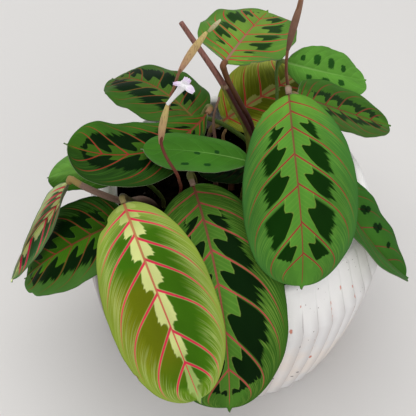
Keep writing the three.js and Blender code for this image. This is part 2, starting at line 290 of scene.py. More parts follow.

# %% [markdown]
# ## Putting a piece on the frame
# Every new piece is a mesh whose object stays at the origin. `seat` makes the object, lets it ride
# on the frame, hides the solid it stands for, and dresses it in its finishes.

# %% Seat a finished piece
def seat(name, mesh, finishes, slot, *nodes):
    piece = bpy.data.objects.new(name, mesh)
    bpy.context.collection.objects.link(piece)
    mesh.polygons.foreach_set("use_smooth", [True] * len(mesh.polygons))
    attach(piece, "root")
    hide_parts(*nodes)
    for finish in finishes:
        mesh.materials.append(finish)
    return piece


# %% [markdown]
# ## The pot
# The pot is thrown or cast in one piece, with 54 shallow planks that overlap like clapboard: each
# rises to a crest and steps down into a crease. They are crisp below the belly and fade out on the
# way up to the rim. A profile spun round the axis gives the smooth wall, and a formula then pulls
# each point in by its place in the pleat, so one short outline makes the whole form.

# %% Pot dimensions
POT_HEIGHT = 117
RIM_RADIUS = 80
BELLY_RADIUS = 94
BELLY_HEIGHT = 84
FOOT_RADIUS = 83
BELLY_BOW = 10
RIM_WALL = 6
WALL = 7
POT_FLOOR = 7
LIP_ARCH = 1.8
LIP_STEPS = 8
PLEATS = 54
PLEAT_DEPTH = 2.9
PLEAT_CREST = 0.8
CREASE_START = 0.92
FIRST_CREASE = math.radians(4.3)
STEPS_PER_PLEAT = 16
OUTER_SKIN = 3
FOOT_EDGE = 5


# %% Pot outline
def pot_radius(z):
    if z < BELLY_HEIGHT:
        s = z / BELLY_HEIGHT
        return FOOT_RADIUS + (BELLY_RADIUS - FOOT_RADIUS) * s + BELLY_BOW * s * (1 - s)
    s = (z - BELLY_HEIGHT) / (POT_HEIGHT - BELLY_HEIGHT)
    return BELLY_RADIUS + (RIM_RADIUS - BELLY_RADIUS) * s


def pot_profile():
    """(radius, height) from the foot's middle, up the outside, over the rim and down inside."""
    outside = [(FOOT_RADIUS - 26, 0), (FOOT_RADIUS - 4, 0), (FOOT_RADIUS - 1.6, 0.7)]
    outside += [(pot_radius(z), z) for z in (2.4, 5, 10, 18, 27, 36, 45, 54, 63, 72, 79, 82.5)]
    shoulder = [(pot_radius(BELLY_HEIGHT) - 0.25, BELLY_HEIGHT), (pot_radius(86), 86)]
    shoulder += [(pot_radius(z), z) for z in (90, 95, 100, 105, 110, 114)]
    middle = RIM_RADIUS - RIM_WALL / 2
    lip = []
    for step in range(LIP_STEPS + 1):
        angle = math.pi * step / LIP_STEPS
        height = POT_HEIGHT - LIP_ARCH + LIP_ARCH * math.sin(angle)
        lip.append((middle + math.cos(angle) * RIM_WALL / 2, height))
    inside = [(RIM_RADIUS - RIM_WALL + 4, 104), (BELLY_RADIUS - WALL - 1, BELLY_HEIGHT)]
    inside += [(pot_radius(40) - WALL, 40), (pot_radius(POT_FLOOR) - WALL - 3, POT_FLOOR + 1)]
    return outside + shoulder + lip + inside + [(30, POT_FLOOR)]


# %% Spin the wall and press the pleats in
def pleat_depth(z):
    """How deep the creases are at a height: full below the belly, fading to the rim."""
    heights = (0, 1.5, 4, BELLY_HEIGHT, 98, 110, POT_HEIGHT)
    return float(np.interp(z, heights, (0.1, 0.5, 1, 1, 0.5, 0.2, 0.05)))


def pleat_share(angle):
    """0 in a crease to 1 on a crest: a slow rise, a rounded edge and a quick drop."""
    place = ((angle - FIRST_CREASE) / (2 * math.pi) * PLEATS) % 1
    corners = (0, 0.06, 0.3, PLEAT_CREST - 0.06, PLEAT_CREST, PLEAT_CREST + 0.05, CREASE_START, 1)
    return float(np.interp(place, corners, (0.05, 0.16, 0.5, 0.95, 1, 0.93, 0.08, 0)))


def pot_mesh():
    bm = bmesh.new()
    chain = [bm.verts.new((r * MM, 0, z * MM)) for r, z in pot_profile()]
    edges = [bm.edges.new(pair) for pair in zip(chain, chain[1:])]
    bmesh.ops.spin(bm, geom=chain + edges, axis=(0, 0, 1), cent=(0, 0, 0),
                   steps=PLEATS * STEPS_PER_PLEAT, angle=2 * math.pi, use_merge=True)
    bmesh.ops.holes_fill(bm, edges=[e for e in bm.edges if e.is_boundary])
    bmesh.ops.recalc_face_normals(bm, faces=bm.faces)
    rim_inside = RIM_RADIUS - RIM_WALL - 0.5
    for v in bm.verts:
        r = math.hypot(v.co.x, v.co.y) / MM
        z = v.co.z / MM
        skin = pot_radius(z) - OUTER_SKIN
        is_outside = r > min(rim_inside, skin) and r > FOOT_RADIUS - FOOT_EDGE
        if is_outside and not (z > BELLY_HEIGHT and r < skin):
            angle = math.atan2(v.co.x, -v.co.y)
            pull = PLEAT_DEPTH * pleat_depth(z) * (1 - pleat_share(angle))
            v.co.xy *= (r - pull) / r
    return as_mesh("pot_wall", bm)


# %% [markdown]
# The clay is washed with lime: white, very slightly rough, with peach where the body shows
# through, a few dark specks, and rubbed terracotta marks along the crests of the upper wall. The
# pattern needs the pleat's own place, and since that is only an angle, it is worked out in the
# shader from Object coordinates. Noise scatters most of the wear, and the clearest rubs and chips
# are listed, each at an angle in degrees and a height in millimetres. A grey step and a dark line
# beside each crease are painted shade, so the pleats look stronger than their depth alone would
# make them. The upper wall is painted whiter, as painted light where the lamp falls on it.

# %% Colours and marks of the clay
LIME_WHITE, PEACH, COOL_GREY = (0.90, 0.88, 0.87), (0.94, 0.83, 0.74), (0.78, 0.78, 0.79)
# The whiter upper wall is painted light, where the lamp falls on it.
LIT_UPPER_WHITE, BLUSH = (0.97, 0.95, 0.92), (0.85, 0.62, 0.50)
TERRACOTTA, RUB_RED = (0.70, 0.18, 0.09), (0.66, 0.17, 0.09)
# The grey step and the dark crease line are painted shade beside each crease.
STEP_SHADE_GREY, CREASE_SHADE_DARK = (0.56, 0.52, 0.51), (0.24, 0.20, 0.19)
SPECK_BROWN, CHIP_BLACK = (0.16, 0.10, 0.09), (0.10, 0.07, 0.07)
SHADE_STEP_START = 0.62
CREASE_LINE = 0.93
RUB_SIZE = (0.9, 1.6)
CHIP_SIZE = (1.0, 0.9)
MARK_STRENGTH = 0.85
RUBS = [(43.8, 96.3), (43.8, 91.4), (43.9, 85.6), (25.5, 89.5), (56.6, 89.0), (39.0, 45.1)]
CHIPS = [(22.7, 36.5), (30.0, 74.0), (22.9, 77.0), (33.5, 23.5), (34.8, 30.1)]


# %% Lime-washed clay
def washed_clay():
    f = Finish("washed_clay")
    place = f.place()
    x, y, z = f.parts(place)
    height = z / MM
    angle = x.maths("ARCTAN2", x, 0 - y)
    pleat = ((angle - FIRST_CREASE) * (PLEATS / (2 * math.pi)) + PLEATS).fraction()
    low_wall = height.below(94, 16) * height.above(2, 1)
    # Painted shade on the lower wall: a dark line in each crease and a grey step before it.
    crease = abs(pleat - CREASE_LINE).below(0.06, 0.06) * low_wall
    step = pleat.above(SHADE_STEP_START, 0.5) * pleat.below(0.96, 0.05) * low_wall
    ridge = pleat.above(PLEAT_CREST - 0.07, 0.06) * pleat.below(PLEAT_CREST + 0.05, 0.05)
    cloud = f.noise(place, 38, 4)
    blotch = f.noise(place, 16, 3, 0.6)
    grain = f.noise(place, 900, 2, 0.6)
    speck = f.noise(place, 520, 1, 0.5).above(0.78, 0.02)
    rubbed = f.noise(f.scaled(place, (1, 1, 0.35)), 210, 2)
    rubs = ridge * rubbed.above(0.67, 0.03) * height.above(76, 10) * height.below(108, 6)
    blush = ridge * f.noise(place, 60, 2).above(0.52, 0.1) * height.below(88, 8)

    def mark(at, wide, tall):
        across = (angle - math.radians(at[0])) * (BELLY_RADIUS / wide)
        up = (height - at[1]) / tall
        distance = (across * across + up * up) ** 0.5
        return (distance + (grain - 0.5) * 1.2).below(1, 0.5) * MARK_STRENGTH

    marks = [(RUB_RED, mark(at, *RUB_SIZE)) for at in RUBS]
    marks += [(CHIP_BLACK, mark(at, *CHIP_SIZE)) for at in CHIPS]
    # The whiter upper wall is painted light, and the grey step and the dark crease line are painted
    # shade.
    colour = f.layers(
        LIME_WHITE, (PEACH, blotch.above(0.56, 0.12) * 0.7),
        (COOL_GREY, cloud.above(0.6, 0.2) * 0.35), (LIT_UPPER_WHITE, height.above(90, 14) * 0.8),
        (TERRACOTTA, rubs * 0.8), (BLUSH, blush * 0.45), (STEP_SHADE_GREY, step * 0.7),
        (CREASE_SHADE_DARK, crease * 0.85), (SPECK_BROWN, speck * 0.8), *marks)
    relief = grain * 0.25 + cloud * 0.8 - speck * 0.5
    return f.done(Base_Color=colour, Roughness=0.78 + grain * 0.15,
                  Normal=f.bump(relief, 0.0003, 0.6))


pot = seat("clay_pot", pot_mesh(), [washed_clay()], "washed_clay", "pot")
print("pot faces:", len(pot.data.polygons))

# %% [markdown]
# ## The soil
# Potting mix is dark when it is damp, and here it is painted nearly black, partly as painted shade
# for the dark inside the pot. It has fibres, crumbs and a few pale grains. Its top is a fine disc
# that sums of sines lift into clods, inside the wall and a little below where the solid's crown
# ends.

# %% Soil surface
SOIL_TOP = 80
SOIL_CROWN = 3
SOIL_RADIUS = pot_radius(SOIL_TOP) - WALL - 1.6
SOIL_SINK = 0.8
SOIL_SKIRT = 9
SOIL_RINGS = 56
CLOD, CRUMB = 1.1, 0.5
# Both damp colours are partly painted shade: the mix is kept near black for the shadow inside the
# pot.
DAMP_AND_SHADED_BLACK, DAMP_AND_SHADED_BROWN = (0.0010, 0.0008, 0.0006), (0.008, 0.005, 0.003)
FIBRE_BROWN, PALE_GRAIN = (0.03, 0.018, 0.010), (0.22, 0.20, 0.17)


def soil_height(x, y):
    reach = math.hypot(x, y) / SOIL_RADIUS
    crown = SOIL_TOP + SOIL_CROWN * (1 - reach * reach)
    clods = CLOD * math.sin(x / 4.1 + 1.3 * math.sin(y / 5.3))
    clods *= math.sin(y / 3.7 + 1.1 * math.sin(x / 6.1))
    crumbs = CRUMB * math.sin(x / 1.3 + 2 * math.sin(y / 2.1))
    crumbs *= math.sin(y / 1.15 + math.sin(x / 1.7))
    return crown - SOIL_SINK + clods + crumbs


# %% Soil disc
def extrude_ring(bm, edges):
    """Extrudes a ring of edges and returns the new ring's corners and edges."""
    made = bmesh.ops.extrude_edge_only(bm, edges=edges)["geom"]
    corners = [g for g in made if isinstance(g, bmesh.types.BMVert)]
    return corners, [g for g in made if isinstance(g, bmesh.types.BMEdge)]


def soil_mesh():
    bm = bmesh.new()
    bmesh.ops.create_circle(bm, cap_ends=False, segments=120, radius=SOIL_RADIUS * MM)
    ring = bm.edges[:]
    for step in range(1, SOIL_RINGS):
        corners, ring = extrude_ring(bm, ring)
        shrink = (SOIL_RINGS - step) / (SOIL_RINGS + 1 - step)
        bmesh.ops.scale(bm, vec=(shrink, shrink, 1), verts=corners)
    bmesh.ops.contextual_create(bm, geom=ring)
    for v in bm.verts:
        v.co.z = soil_height(v.co.x / MM, v.co.y / MM) * MM
    corners, ring = extrude_ring(bm, [e for e in bm.edges if e.is_boundary])
    for v in corners:
        v.co.z = (SOIL_TOP - SOIL_SKIRT) * MM
    bmesh.ops.contextual_create(bm, geom=ring)
    bmesh.ops.recalc_face_normals(bm, faces=bm.faces)
    return as_mesh("soil_top", bm)


# %% Potting mix
def potting_mix():
    f = Finish("potting_mix")
    place = f.place()
    clods = f.noise(place, 160, 5, 0.65)
    fibre = f.noise(f.scaled(place, (1, 0.3, 1)), 700, 2)
    grit = f.noise(place, 420, 1).above(0.745, 0.03)
    # Partly painted shade: the damp mix is darker still for the shadow inside the pot.
    colour = f.layers(DAMP_AND_SHADED_BLACK, (DAMP_AND_SHADED_BROWN, clods.above(0.54, 0.2)),
                      (FIBRE_BROWN, fibre.above(0.68, 0.04) * 0.5), (PALE_GRAIN, grit * 0.3))
    return f.done(Base_Color=colour, Roughness=0.95, Specular_IOR_Level=0.0,
                  Normal=f.bump(clods + grit * 0.3, 0.0015))


soil = seat("soil_top", soil_mesh(), [potting_mix()], "soil", "soil")
print("soil faces:", len(soil.data.polygons))

# %% [markdown]
# ## The leaves' shapes
# Each blade is a sheet on a curved midrib. The table says where it starts, which way the midrib
# heads, how it droops and swerves, how wide it is, and how its halves fold, arch and ripple. These
# are the solid model's own values, in millimetres and degrees, so the fine blade follows the solid.
# Its swells, nicks and thinner skin depart from it by less than 3 mm.

# %% Leaf table
def leaf(base, heading, rise, droop, swerve, length, width, roll, twist, bulge, fold, arch, wave,
         waves, root, via=(), knee=None, stem=1.4):
    return dict(base=base, heading=heading, rise=rise, droop=droop, swerve=swerve, length=length,
                width=width, roll=roll, twist=twist, bulge=bulge, fold=fold, arch=arch, wave=wave,
                waves=waves, root=root, via=via, knee=knee, stem=stem)


LEAVES = {
    "front_left": leaf((-63, -56, 159), -63, -18, 37, 17, 120, 65, 18, -7, 0.53, 8, 45, 1.0, 3,
                       (-34, -14), [(-49, -40, 134)], (-62, -49, 155)),
    "front_centre": leaf((-27, -28, 147), -69, -2, 78, -1, 143, 77, 9, -6, 0.53, 8, 32, 1.2, 3,
                         (-22, 2), [(-28, -12, 137)]),
    "front_right": leaf((19, -7, 207), -81, -15, 69, 21, 116, 67, 25, -10, 0.54, 6, 45, 0.8, 3,
                        (24, 6), [(22, 8, 180)], (19.5, -1.5, 202)),
    "right_low": leaf((50, -12, 154), -40, -49, -7, 39, 91, 41, -7, -6, 0.55, 27, 19, 0.8, 3,
                      (34, 2), [(42, -6, 148)]),
    "left_low": leaf((-63, -40, 126), -155, -18, 46, -28, 85, 53, -15, 7, 0.48, 10, 21, 1.0, 3,
                     (-44, -24), [(-52, -34, 118)]),
    "left_edge": leaf((-98, -31, 141), -195, -79, -63, 105, 81, 25, -53, 3, 0.44, 63, 7, 0.6, 3,
                      (-48, -4), [(-56, -24, 125), (-66, -36, 136), (-80, -37, 142)],
                      (-91, -34, 144), 1.9),
    "left_small": leaf((-66, -14, 133), 168, 7, 54, 10, 56, 31, 2, -10, 0.51, 5, 30, 0.6, 2,
                       (-46, 6), [(-58, -12, 128)]),
    "left": leaf((-24, 7, 171), -116, -10, -30, -70, 93, 49, 0, 0, 0.68, 20, 38, 0.8, 3,
                 (-29, 16), [(-29, 15, 148)], (-24, 14, 169)),
    "back_left": leaf((-32, 20, 152), 129, -1, 44, 9, 93, 52, 3, -5, 0.43, 10, 35, 1.2, 3,
                      (12, 30), [(3, 27, 128), (-6, 26, 138), (-17, 25, 146)], (-25, 22, 151)),
    "centre_small": leaf((4, -28, 173), 178, 11, 15, 10, 62, 33, 6, 5, 0.6, 8, 25, 0.5, 2,
                         (8, -14), [(9, -24, 160)]),
    "top": leaf((-17, 16, 204), 75, -15, 12, 0, 97, 56, 4, -7, 0.51, 8, 20, 1.4, 3,
                (12, 22), [(3, 21, 150), (-5, 20, 168), (-13, 18.5, 185)], (-17, 14.5, 199), 1.7),
    "back_centre": leaf((-14, 38, 134), 36, 20, 66, 35, 109, 62, 12, -16, 0.5, 10, 40, 0.8, 3,
                        (-20, 34)),
    "back_right": leaf((21, 71, 158), 8, -19, 13, 29, 67, 33, 44, -26, 0.5, 14, 18, 0.6, 3,
                       (20, 16), [(19, 20, 135), (17.5, 36, 147), (16.6, 50, 153)],
                       (15, 62, 160), 1.0),
    "right": leaf((28, 36, 165), 24, -34, -4, -3, 84, 38, 14, -8, 0.47, 16, 21, 0.6, 3,
                  (36, 22), [(31, 27, 135), (24, 31, 156)], (22.5, 33, 166)),
    "inner": leaf((8, -2, 136), 184, 14, 30, -6, 36, 24, -4, 0, 0.52, 8, 25, 0.4, 2, (14, -6)),
}
print("leaves:", len(LEAVES))

# %% [markdown]
# The blade's formulas work on whole arrays at once. `along` runs from 0 at the petiole to 1 at the
# tip and `across` from -1 to 1, and the half width comes from an oval with a small drip point.

# %% Blade formulas
TIP_SHARE = 0.05
TIP_WIDTH = 0.16
MIDRIB_STEPS = 48
THINNEST = 0.3


def half_width(lf, along):
    body = np.minimum(along / (1 - TIP_SHARE / 2), 1)
    bent = body ** (math.log(0.5) / math.log(lf["bulge"]))
    oval = np.sqrt(np.maximum(1 - np.abs(2 * bent - 1) ** 2.2, 0))
    tip = np.where(along > 0.5, TIP_WIDTH * (1 - along) / TIP_SHARE / 2, 0)
    share = np.maximum(oval, np.minimum(tip, TIP_WIDTH))
    return np.maximum(share * lf["width"] / 2, THINNEST)


def blade_frame(lf, along):
    pitch = np.radians(lf["rise"] - lf["droop"] * along)
    compass = np.radians(lf["heading"] + lf["swerve"] * along)
    ahead = np.stack([np.cos(pitch) * np.cos(compass), np.cos(pitch) * np.sin(compass),
                      np.sin(pitch)], -1)
    flat = np.stack([-np.sin(compass), np.cos(compass), 0 * compass], -1)
    tilt = np.radians(lf["roll"] + lf["twist"] * along)[..., None]
    sideways = flat * np.cos(tilt) + np.cross(ahead, flat) * np.sin(tilt)
    return ahead, sideways, np.cross(ahead, sideways)


def midrib(lf, along):
    knots = np.arange(MIDRIB_STEPS + 1) / MIDRIB_STEPS
    ahead = blade_frame(lf, knots[:-1] + 0.5 / MIDRIB_STEPS)[0]
    places = np.vstack([lf["base"], lf["base"] + np.cumsum(ahead, 0) * lf["length"] / MIDRIB_STEPS])
    return np.stack([np.interp(along, knots, places[:, i]) for i in range(3)], -1)


def blade_points(lf, along, across):
    sideways, face = blade_frame(lf, along)[1:]
    side = np.sign(across)
    reach = np.abs(across) * half_width(lf, along)
    curl = math.radians(lf["arch"]) / (lf["width"] / 2)
    fold = math.radians(lf["fold"])
    out = (math.sin(fold) - np.sin(fold - curl * reach)) / curl
    up = (np.cos(fold - curl * reach) - math.cos(fold)) / curl
    up += lf["wave"] * across ** 2 * np.sin(2 * math.pi * lf["waves"] * along + side)
    return midrib(lf, along) + sideways * (side * out)[..., None] + face * up[..., None]


# %% [markdown]
# ## Where the veins run
# Side veins leave the midrib at about 55 degrees, and bend forward until they run along the
# margin. How far each one runs towards the tip depends on where it starts, and a point's own
# start is found by halving an interval. Counting those starts gives a smooth number, the vein
# phase: whole numbers are veins, and the fraction says how far a point lies on the way to the
# next one. Veins that start near the tip run straighter, so their slant grows with the start. The
# shader draws everything from that number, so a map carries it together with the distance between
# veins, in millimetres.

# %% Vein phase
VEIN_STARTS = np.array([0.03, 0.08, 0.16, 0.28, 0.43, 0.61, 0.77])
SWEEP_STARTS = (-0.3, 0, 0.08, 0.15, 0.26, 0.42, 0.62, 0.784, 1.1)
SWEEPS = (0, 0.07, 0.25, 0.37, 0.47, 0.47, 0.37, 0.22, 0)
SLANT_STARTS = (0.42, 0.62, 0.78)
SLANTS = (0.46, 0.85, 1.0)
FULL_LEAN = 0.95
WIDEST_GAP = 40
NARROW_SHARE = 0.2


def vein_starts(lf, side):
    seed = int(abs(lf["heading"]) * 7 + lf["length"])
    shift = np.random.default_rng(seed + int(side > 0)).uniform(-0.012, 0.012, len(VEIN_STARTS))
    return VEIN_STARTS + shift * np.minimum(VEIN_STARTS / 0.1, 1)


def vein_phase(lf, side, along, reach):
    wide_enough = np.maximum(half_width(lf, along), NARROW_SHARE * lf["width"] / 2)
    share = np.clip(reach / wide_enough, 0, 1)
    low, high = along * 0 - 0.6, along * 0 + 1.1
    for _ in range(24):
        start = (low + high) / 2
        slant = np.interp(start, SLANT_STARTS, SLANTS)
        lean = slant * share + (FULL_LEAN - slant) * share ** 5
        is_past = start + np.interp(start, SWEEP_STARTS, SWEEPS) * lean > along
        low, high = np.where(is_past, low, start), np.where(is_past, start, high)
    starts = vein_starts(lf, side)
    last = len(starts) - 1
    phase = np.interp(start, starts, np.arange(last + 1))
    before = (start - starts[0]) / (starts[1] - starts[0])
    after = last + (start - starts[-1]) / (starts[-1] - starts[-2])
    return np.where(start < starts[0], before, np.where(start > starts[-1], after, phase))


def vein_gap(lf, side, along, reach):
    step = 0.002
    low, high = np.clip(along - step, 0, 1), np.clip(along + step, 0, 1)
    ahead = vein_phase(lf, side, high, reach) - vein_phase(lf, side, low, reach)
    ahead /= (high - low) * lf["length"]
    outer, inner = reach + 0.1, np.maximum(reach - 0.1, 0)
    wide = vein_phase(lf, side, along, outer) - vein_phase(lf, side, along, inner)
    wide /= outer - inner
    return np.minimum(1 / np.maximum(np.hypot(ahead, wide), 1e-4), WIDEST_GAP)


# %% [markdown]
# ## Building a blade
# A flat grid from one operator becomes the blade: its own coordinates are read as places along and
# across, the maps are written per face corner so that both halves may differ at the midrib, and
# the points then move to their places. The margin is worn a little, with a few nicks listed one by
# one. Between veins the surface swells by 0.4 of a millimetre, and it sinks along the midrib. A
# Solidify modifier gives it its thickness, with the underside in a second material.

# %% Blade sizes and worn edges
ROWS = 128
COLUMNS = 64
SWELL = 0.4
RIB_SINK, RIB_HOLLOW = 0.35, 1.3
THICKNESS = 0.55
WOBBLE = 0.35
WORN_FROM = 0.6
NICKS = {
    "front_left": [(-1, 0.065, 2.6, 2.2), (-1, 0.76, 0.7, 1.2)],
    "top": [(-1, 0.08, 2.2, 1.8), (-1, 0.2, 1.2, 1.2), (1, 0.42, 1.0, 2)],
    "back_left": [(-1, 0.94, 2.4, 3), (1, 0.8, 1.2, 2), (-1, 0.6, 1.0, 2)],
    "front_right": [(-1, 0.05, 1.0, 1.2), (-1, 0.09, 0.8, 1.2), (-1, 0.95, 1.2, 2)],
    "left_low": [(1, 0.86, 1.3, 2), (-1, 0.55, 1.0, 2)],
    "back_right": [(1, 0.9, 1.8, 3)],
}


def worn_edge(name, lf, along, across):
    """Pulls the outer part of the blade in, a little all along and further at each nick."""
    ripple = np.sin(along * 41 + lf["length"] + np.sign(across)) * np.sin(along * 17)
    pull = WOBBLE * (ripple + 1) / 2
    for side, place, depth, spread in NICKS.get(name, ()):
        off = (along - place) * lf["length"] / spread
        pull = pull + np.where(np.sign(across) == side, depth * np.exp(-off ** 2), 0)
    outer = np.clip((np.abs(across) - WORN_FROM) / (1 - WORN_FROM), 0, 1) ** 2
    share = pull * outer / np.maximum(half_width(lf, along), 3)
    return across * (1 - np.minimum(share, 0.5))


# %% Make a blade
def write_map(mesh, name, values):
    layer = mesh.uv_layers.new(name=name)
    layer.data.foreach_set("uv", values.astype(np.float32).ravel())


def by_side(formula, lf, side, along, reach):
    """Works out a vein formula for each half of the blade on its own."""
    values = np.zeros(len(along))
    for s in (-1, 1):
        on = side == s
        values[on] = formula(lf, s, along[on], reach[on])
    return values


def blade_mesh(key, lf):
    bm = bmesh.new()
    bmesh.ops.create_grid(bm, x_segments=ROWS, y_segments=COLUMNS, size=1)
    mesh = as_mesh("blade_" + key, bm)
    flat = np.zeros(len(mesh.vertices) * 3)
    mesh.vertices.foreach_get("co", flat)
    flat = flat.reshape(-1, 3)
    along = (1 - np.cos(math.pi * (flat[:, 0] + 1) / 2)) / 2
    across = np.where(np.abs(flat[:, 1]) < 1e-6, 0, flat[:, 1])
    across = worn_edge(key, lf, along, across)
    reach = np.abs(across) * half_width(lf, along)
    corner = np.zeros(len(mesh.loops), int)
    mesh.loops.foreach_get("vertex_index", corner)
    side = np.repeat(np.sign(across[corner].reshape(-1, 4).sum(1)), 4)
    c_along, c_reach = along[corner], reach[corner]
    phase = by_side(vein_phase, lf, side, c_along, c_reach)
    gap = by_side(vein_gap, lf, side, c_along, c_reach)
    write_map(mesh, "blade", np.stack([c_along, across[corner]], 1))
    write_map(mesh, "veins", np.stack([phase, gap], 1))
    write_map(mesh, "span", np.stack([c_reach / (lf["width"] / 2), side], 1))
    cell = by_side(vein_phase, lf, np.sign(across), along, reach) % 1
    calm = np.clip((1 - np.abs(across)) / 0.25, 0, 1) * np.clip(reach / 4, 0, 1)
    puff = SWELL * (np.abs(np.sin(math.pi * cell)) ** 0.8 - 0.6) * calm
    puff -= RIB_SINK * np.exp(-(reach / RIB_HOLLOW) ** 2)
    puff *= np.clip((1 - along) / 0.1, 0, 1)
    places = blade_points(lf, along, across) + blade_frame(lf, along)[2] * puff[:, None]
    mesh.vertices.foreach_set("co", (places * MM).ravel())
    mesh.update()
    return mesh


def grow_blade(key, lf, slot, finishes):
    piece = seat("blade_" + key, blade_mesh(key, lf), finishes, slot, "leaf_" + key)
    shell = piece.modifiers.new("thickness", "SOLIDIFY")
    shell.thickness = THICKNESS * MM
    shell.offset = 0
    shell.material_offset = 1
    shell.material_offset_rim = 1


# %% [markdown]
# ## The leaf pattern
# A prayer plant's blade has up to four zones: a pale feather along the midrib, whose edge has a
# lobe or a tooth in every vein space, dark patches beyond it, a middle green field, and a paler
# streaky margin. Red veins cross them all. One function draws them from the maps, and each leaf
# hands in its own palette and sizes, because no two leaves of the plant are alike. Widths are
# shares of the blade's half width, except for the veins, which are in millimetres. Dark or brown
# spots are listed, and at the end a slow noise paints light and shade over the whole blade.

# %% Edge shapes of the feather, over one vein space
LOBED = [(0, 0.5), (0.1, 0.6), (0.3, 0.85), (0.4, 0.8), (0.46, 1.0), (0.52, 0.78), (0.62, 0.84),
         (0.68, 0.45), (0.8, 0.12), (0.92, 0.1), (1, 0.3)]
TOOTHED = [(0, 0.30), (0.06, 0.28), (0.24, 0.34), (0.34, 0.3), (0.46, 0.05), (0.54, 0.0),
           (0.68, 0.13), (0.8, 0.3), (0.9, 0.5), (1, 0.9)]
FANGED = [(0, 0.92), (0.08, 0.88), (0.28, 1.0), (0.4, 0.96), (0.47, 0.3), (0.55, 0.05), (0.64, 0.0),
          (0.8, 0.2), (0.92, 0.5), (1, 0.7)]
SPOTTED = [(0, 1.0), (0.5, 0.9), (1, 1.0)]
WIDE_PLUME = [(0, 1), (0.3, 1), (0.55, 0.85), (0.72, 0.55), (0.84, 0.4), (0.92, 0.7), (1, 0.6)]
TAPERED = [(0, 0.8), (0.12, 1), (0.6, 0.92), (0.86, 0.55), (0.97, 0.2), (1, 0)]


# %% Upper side of a blade
LEAF_SHEEN = 0.03
FEATHER_SOFT = 0.014
HALO_WIDTH = 0.012
PATCH_GROWTH = 0.22
# How strongly a slow noise paints light and shade over each blade.
LIGHT_AND_SHADE_MOTTLE = 0.7


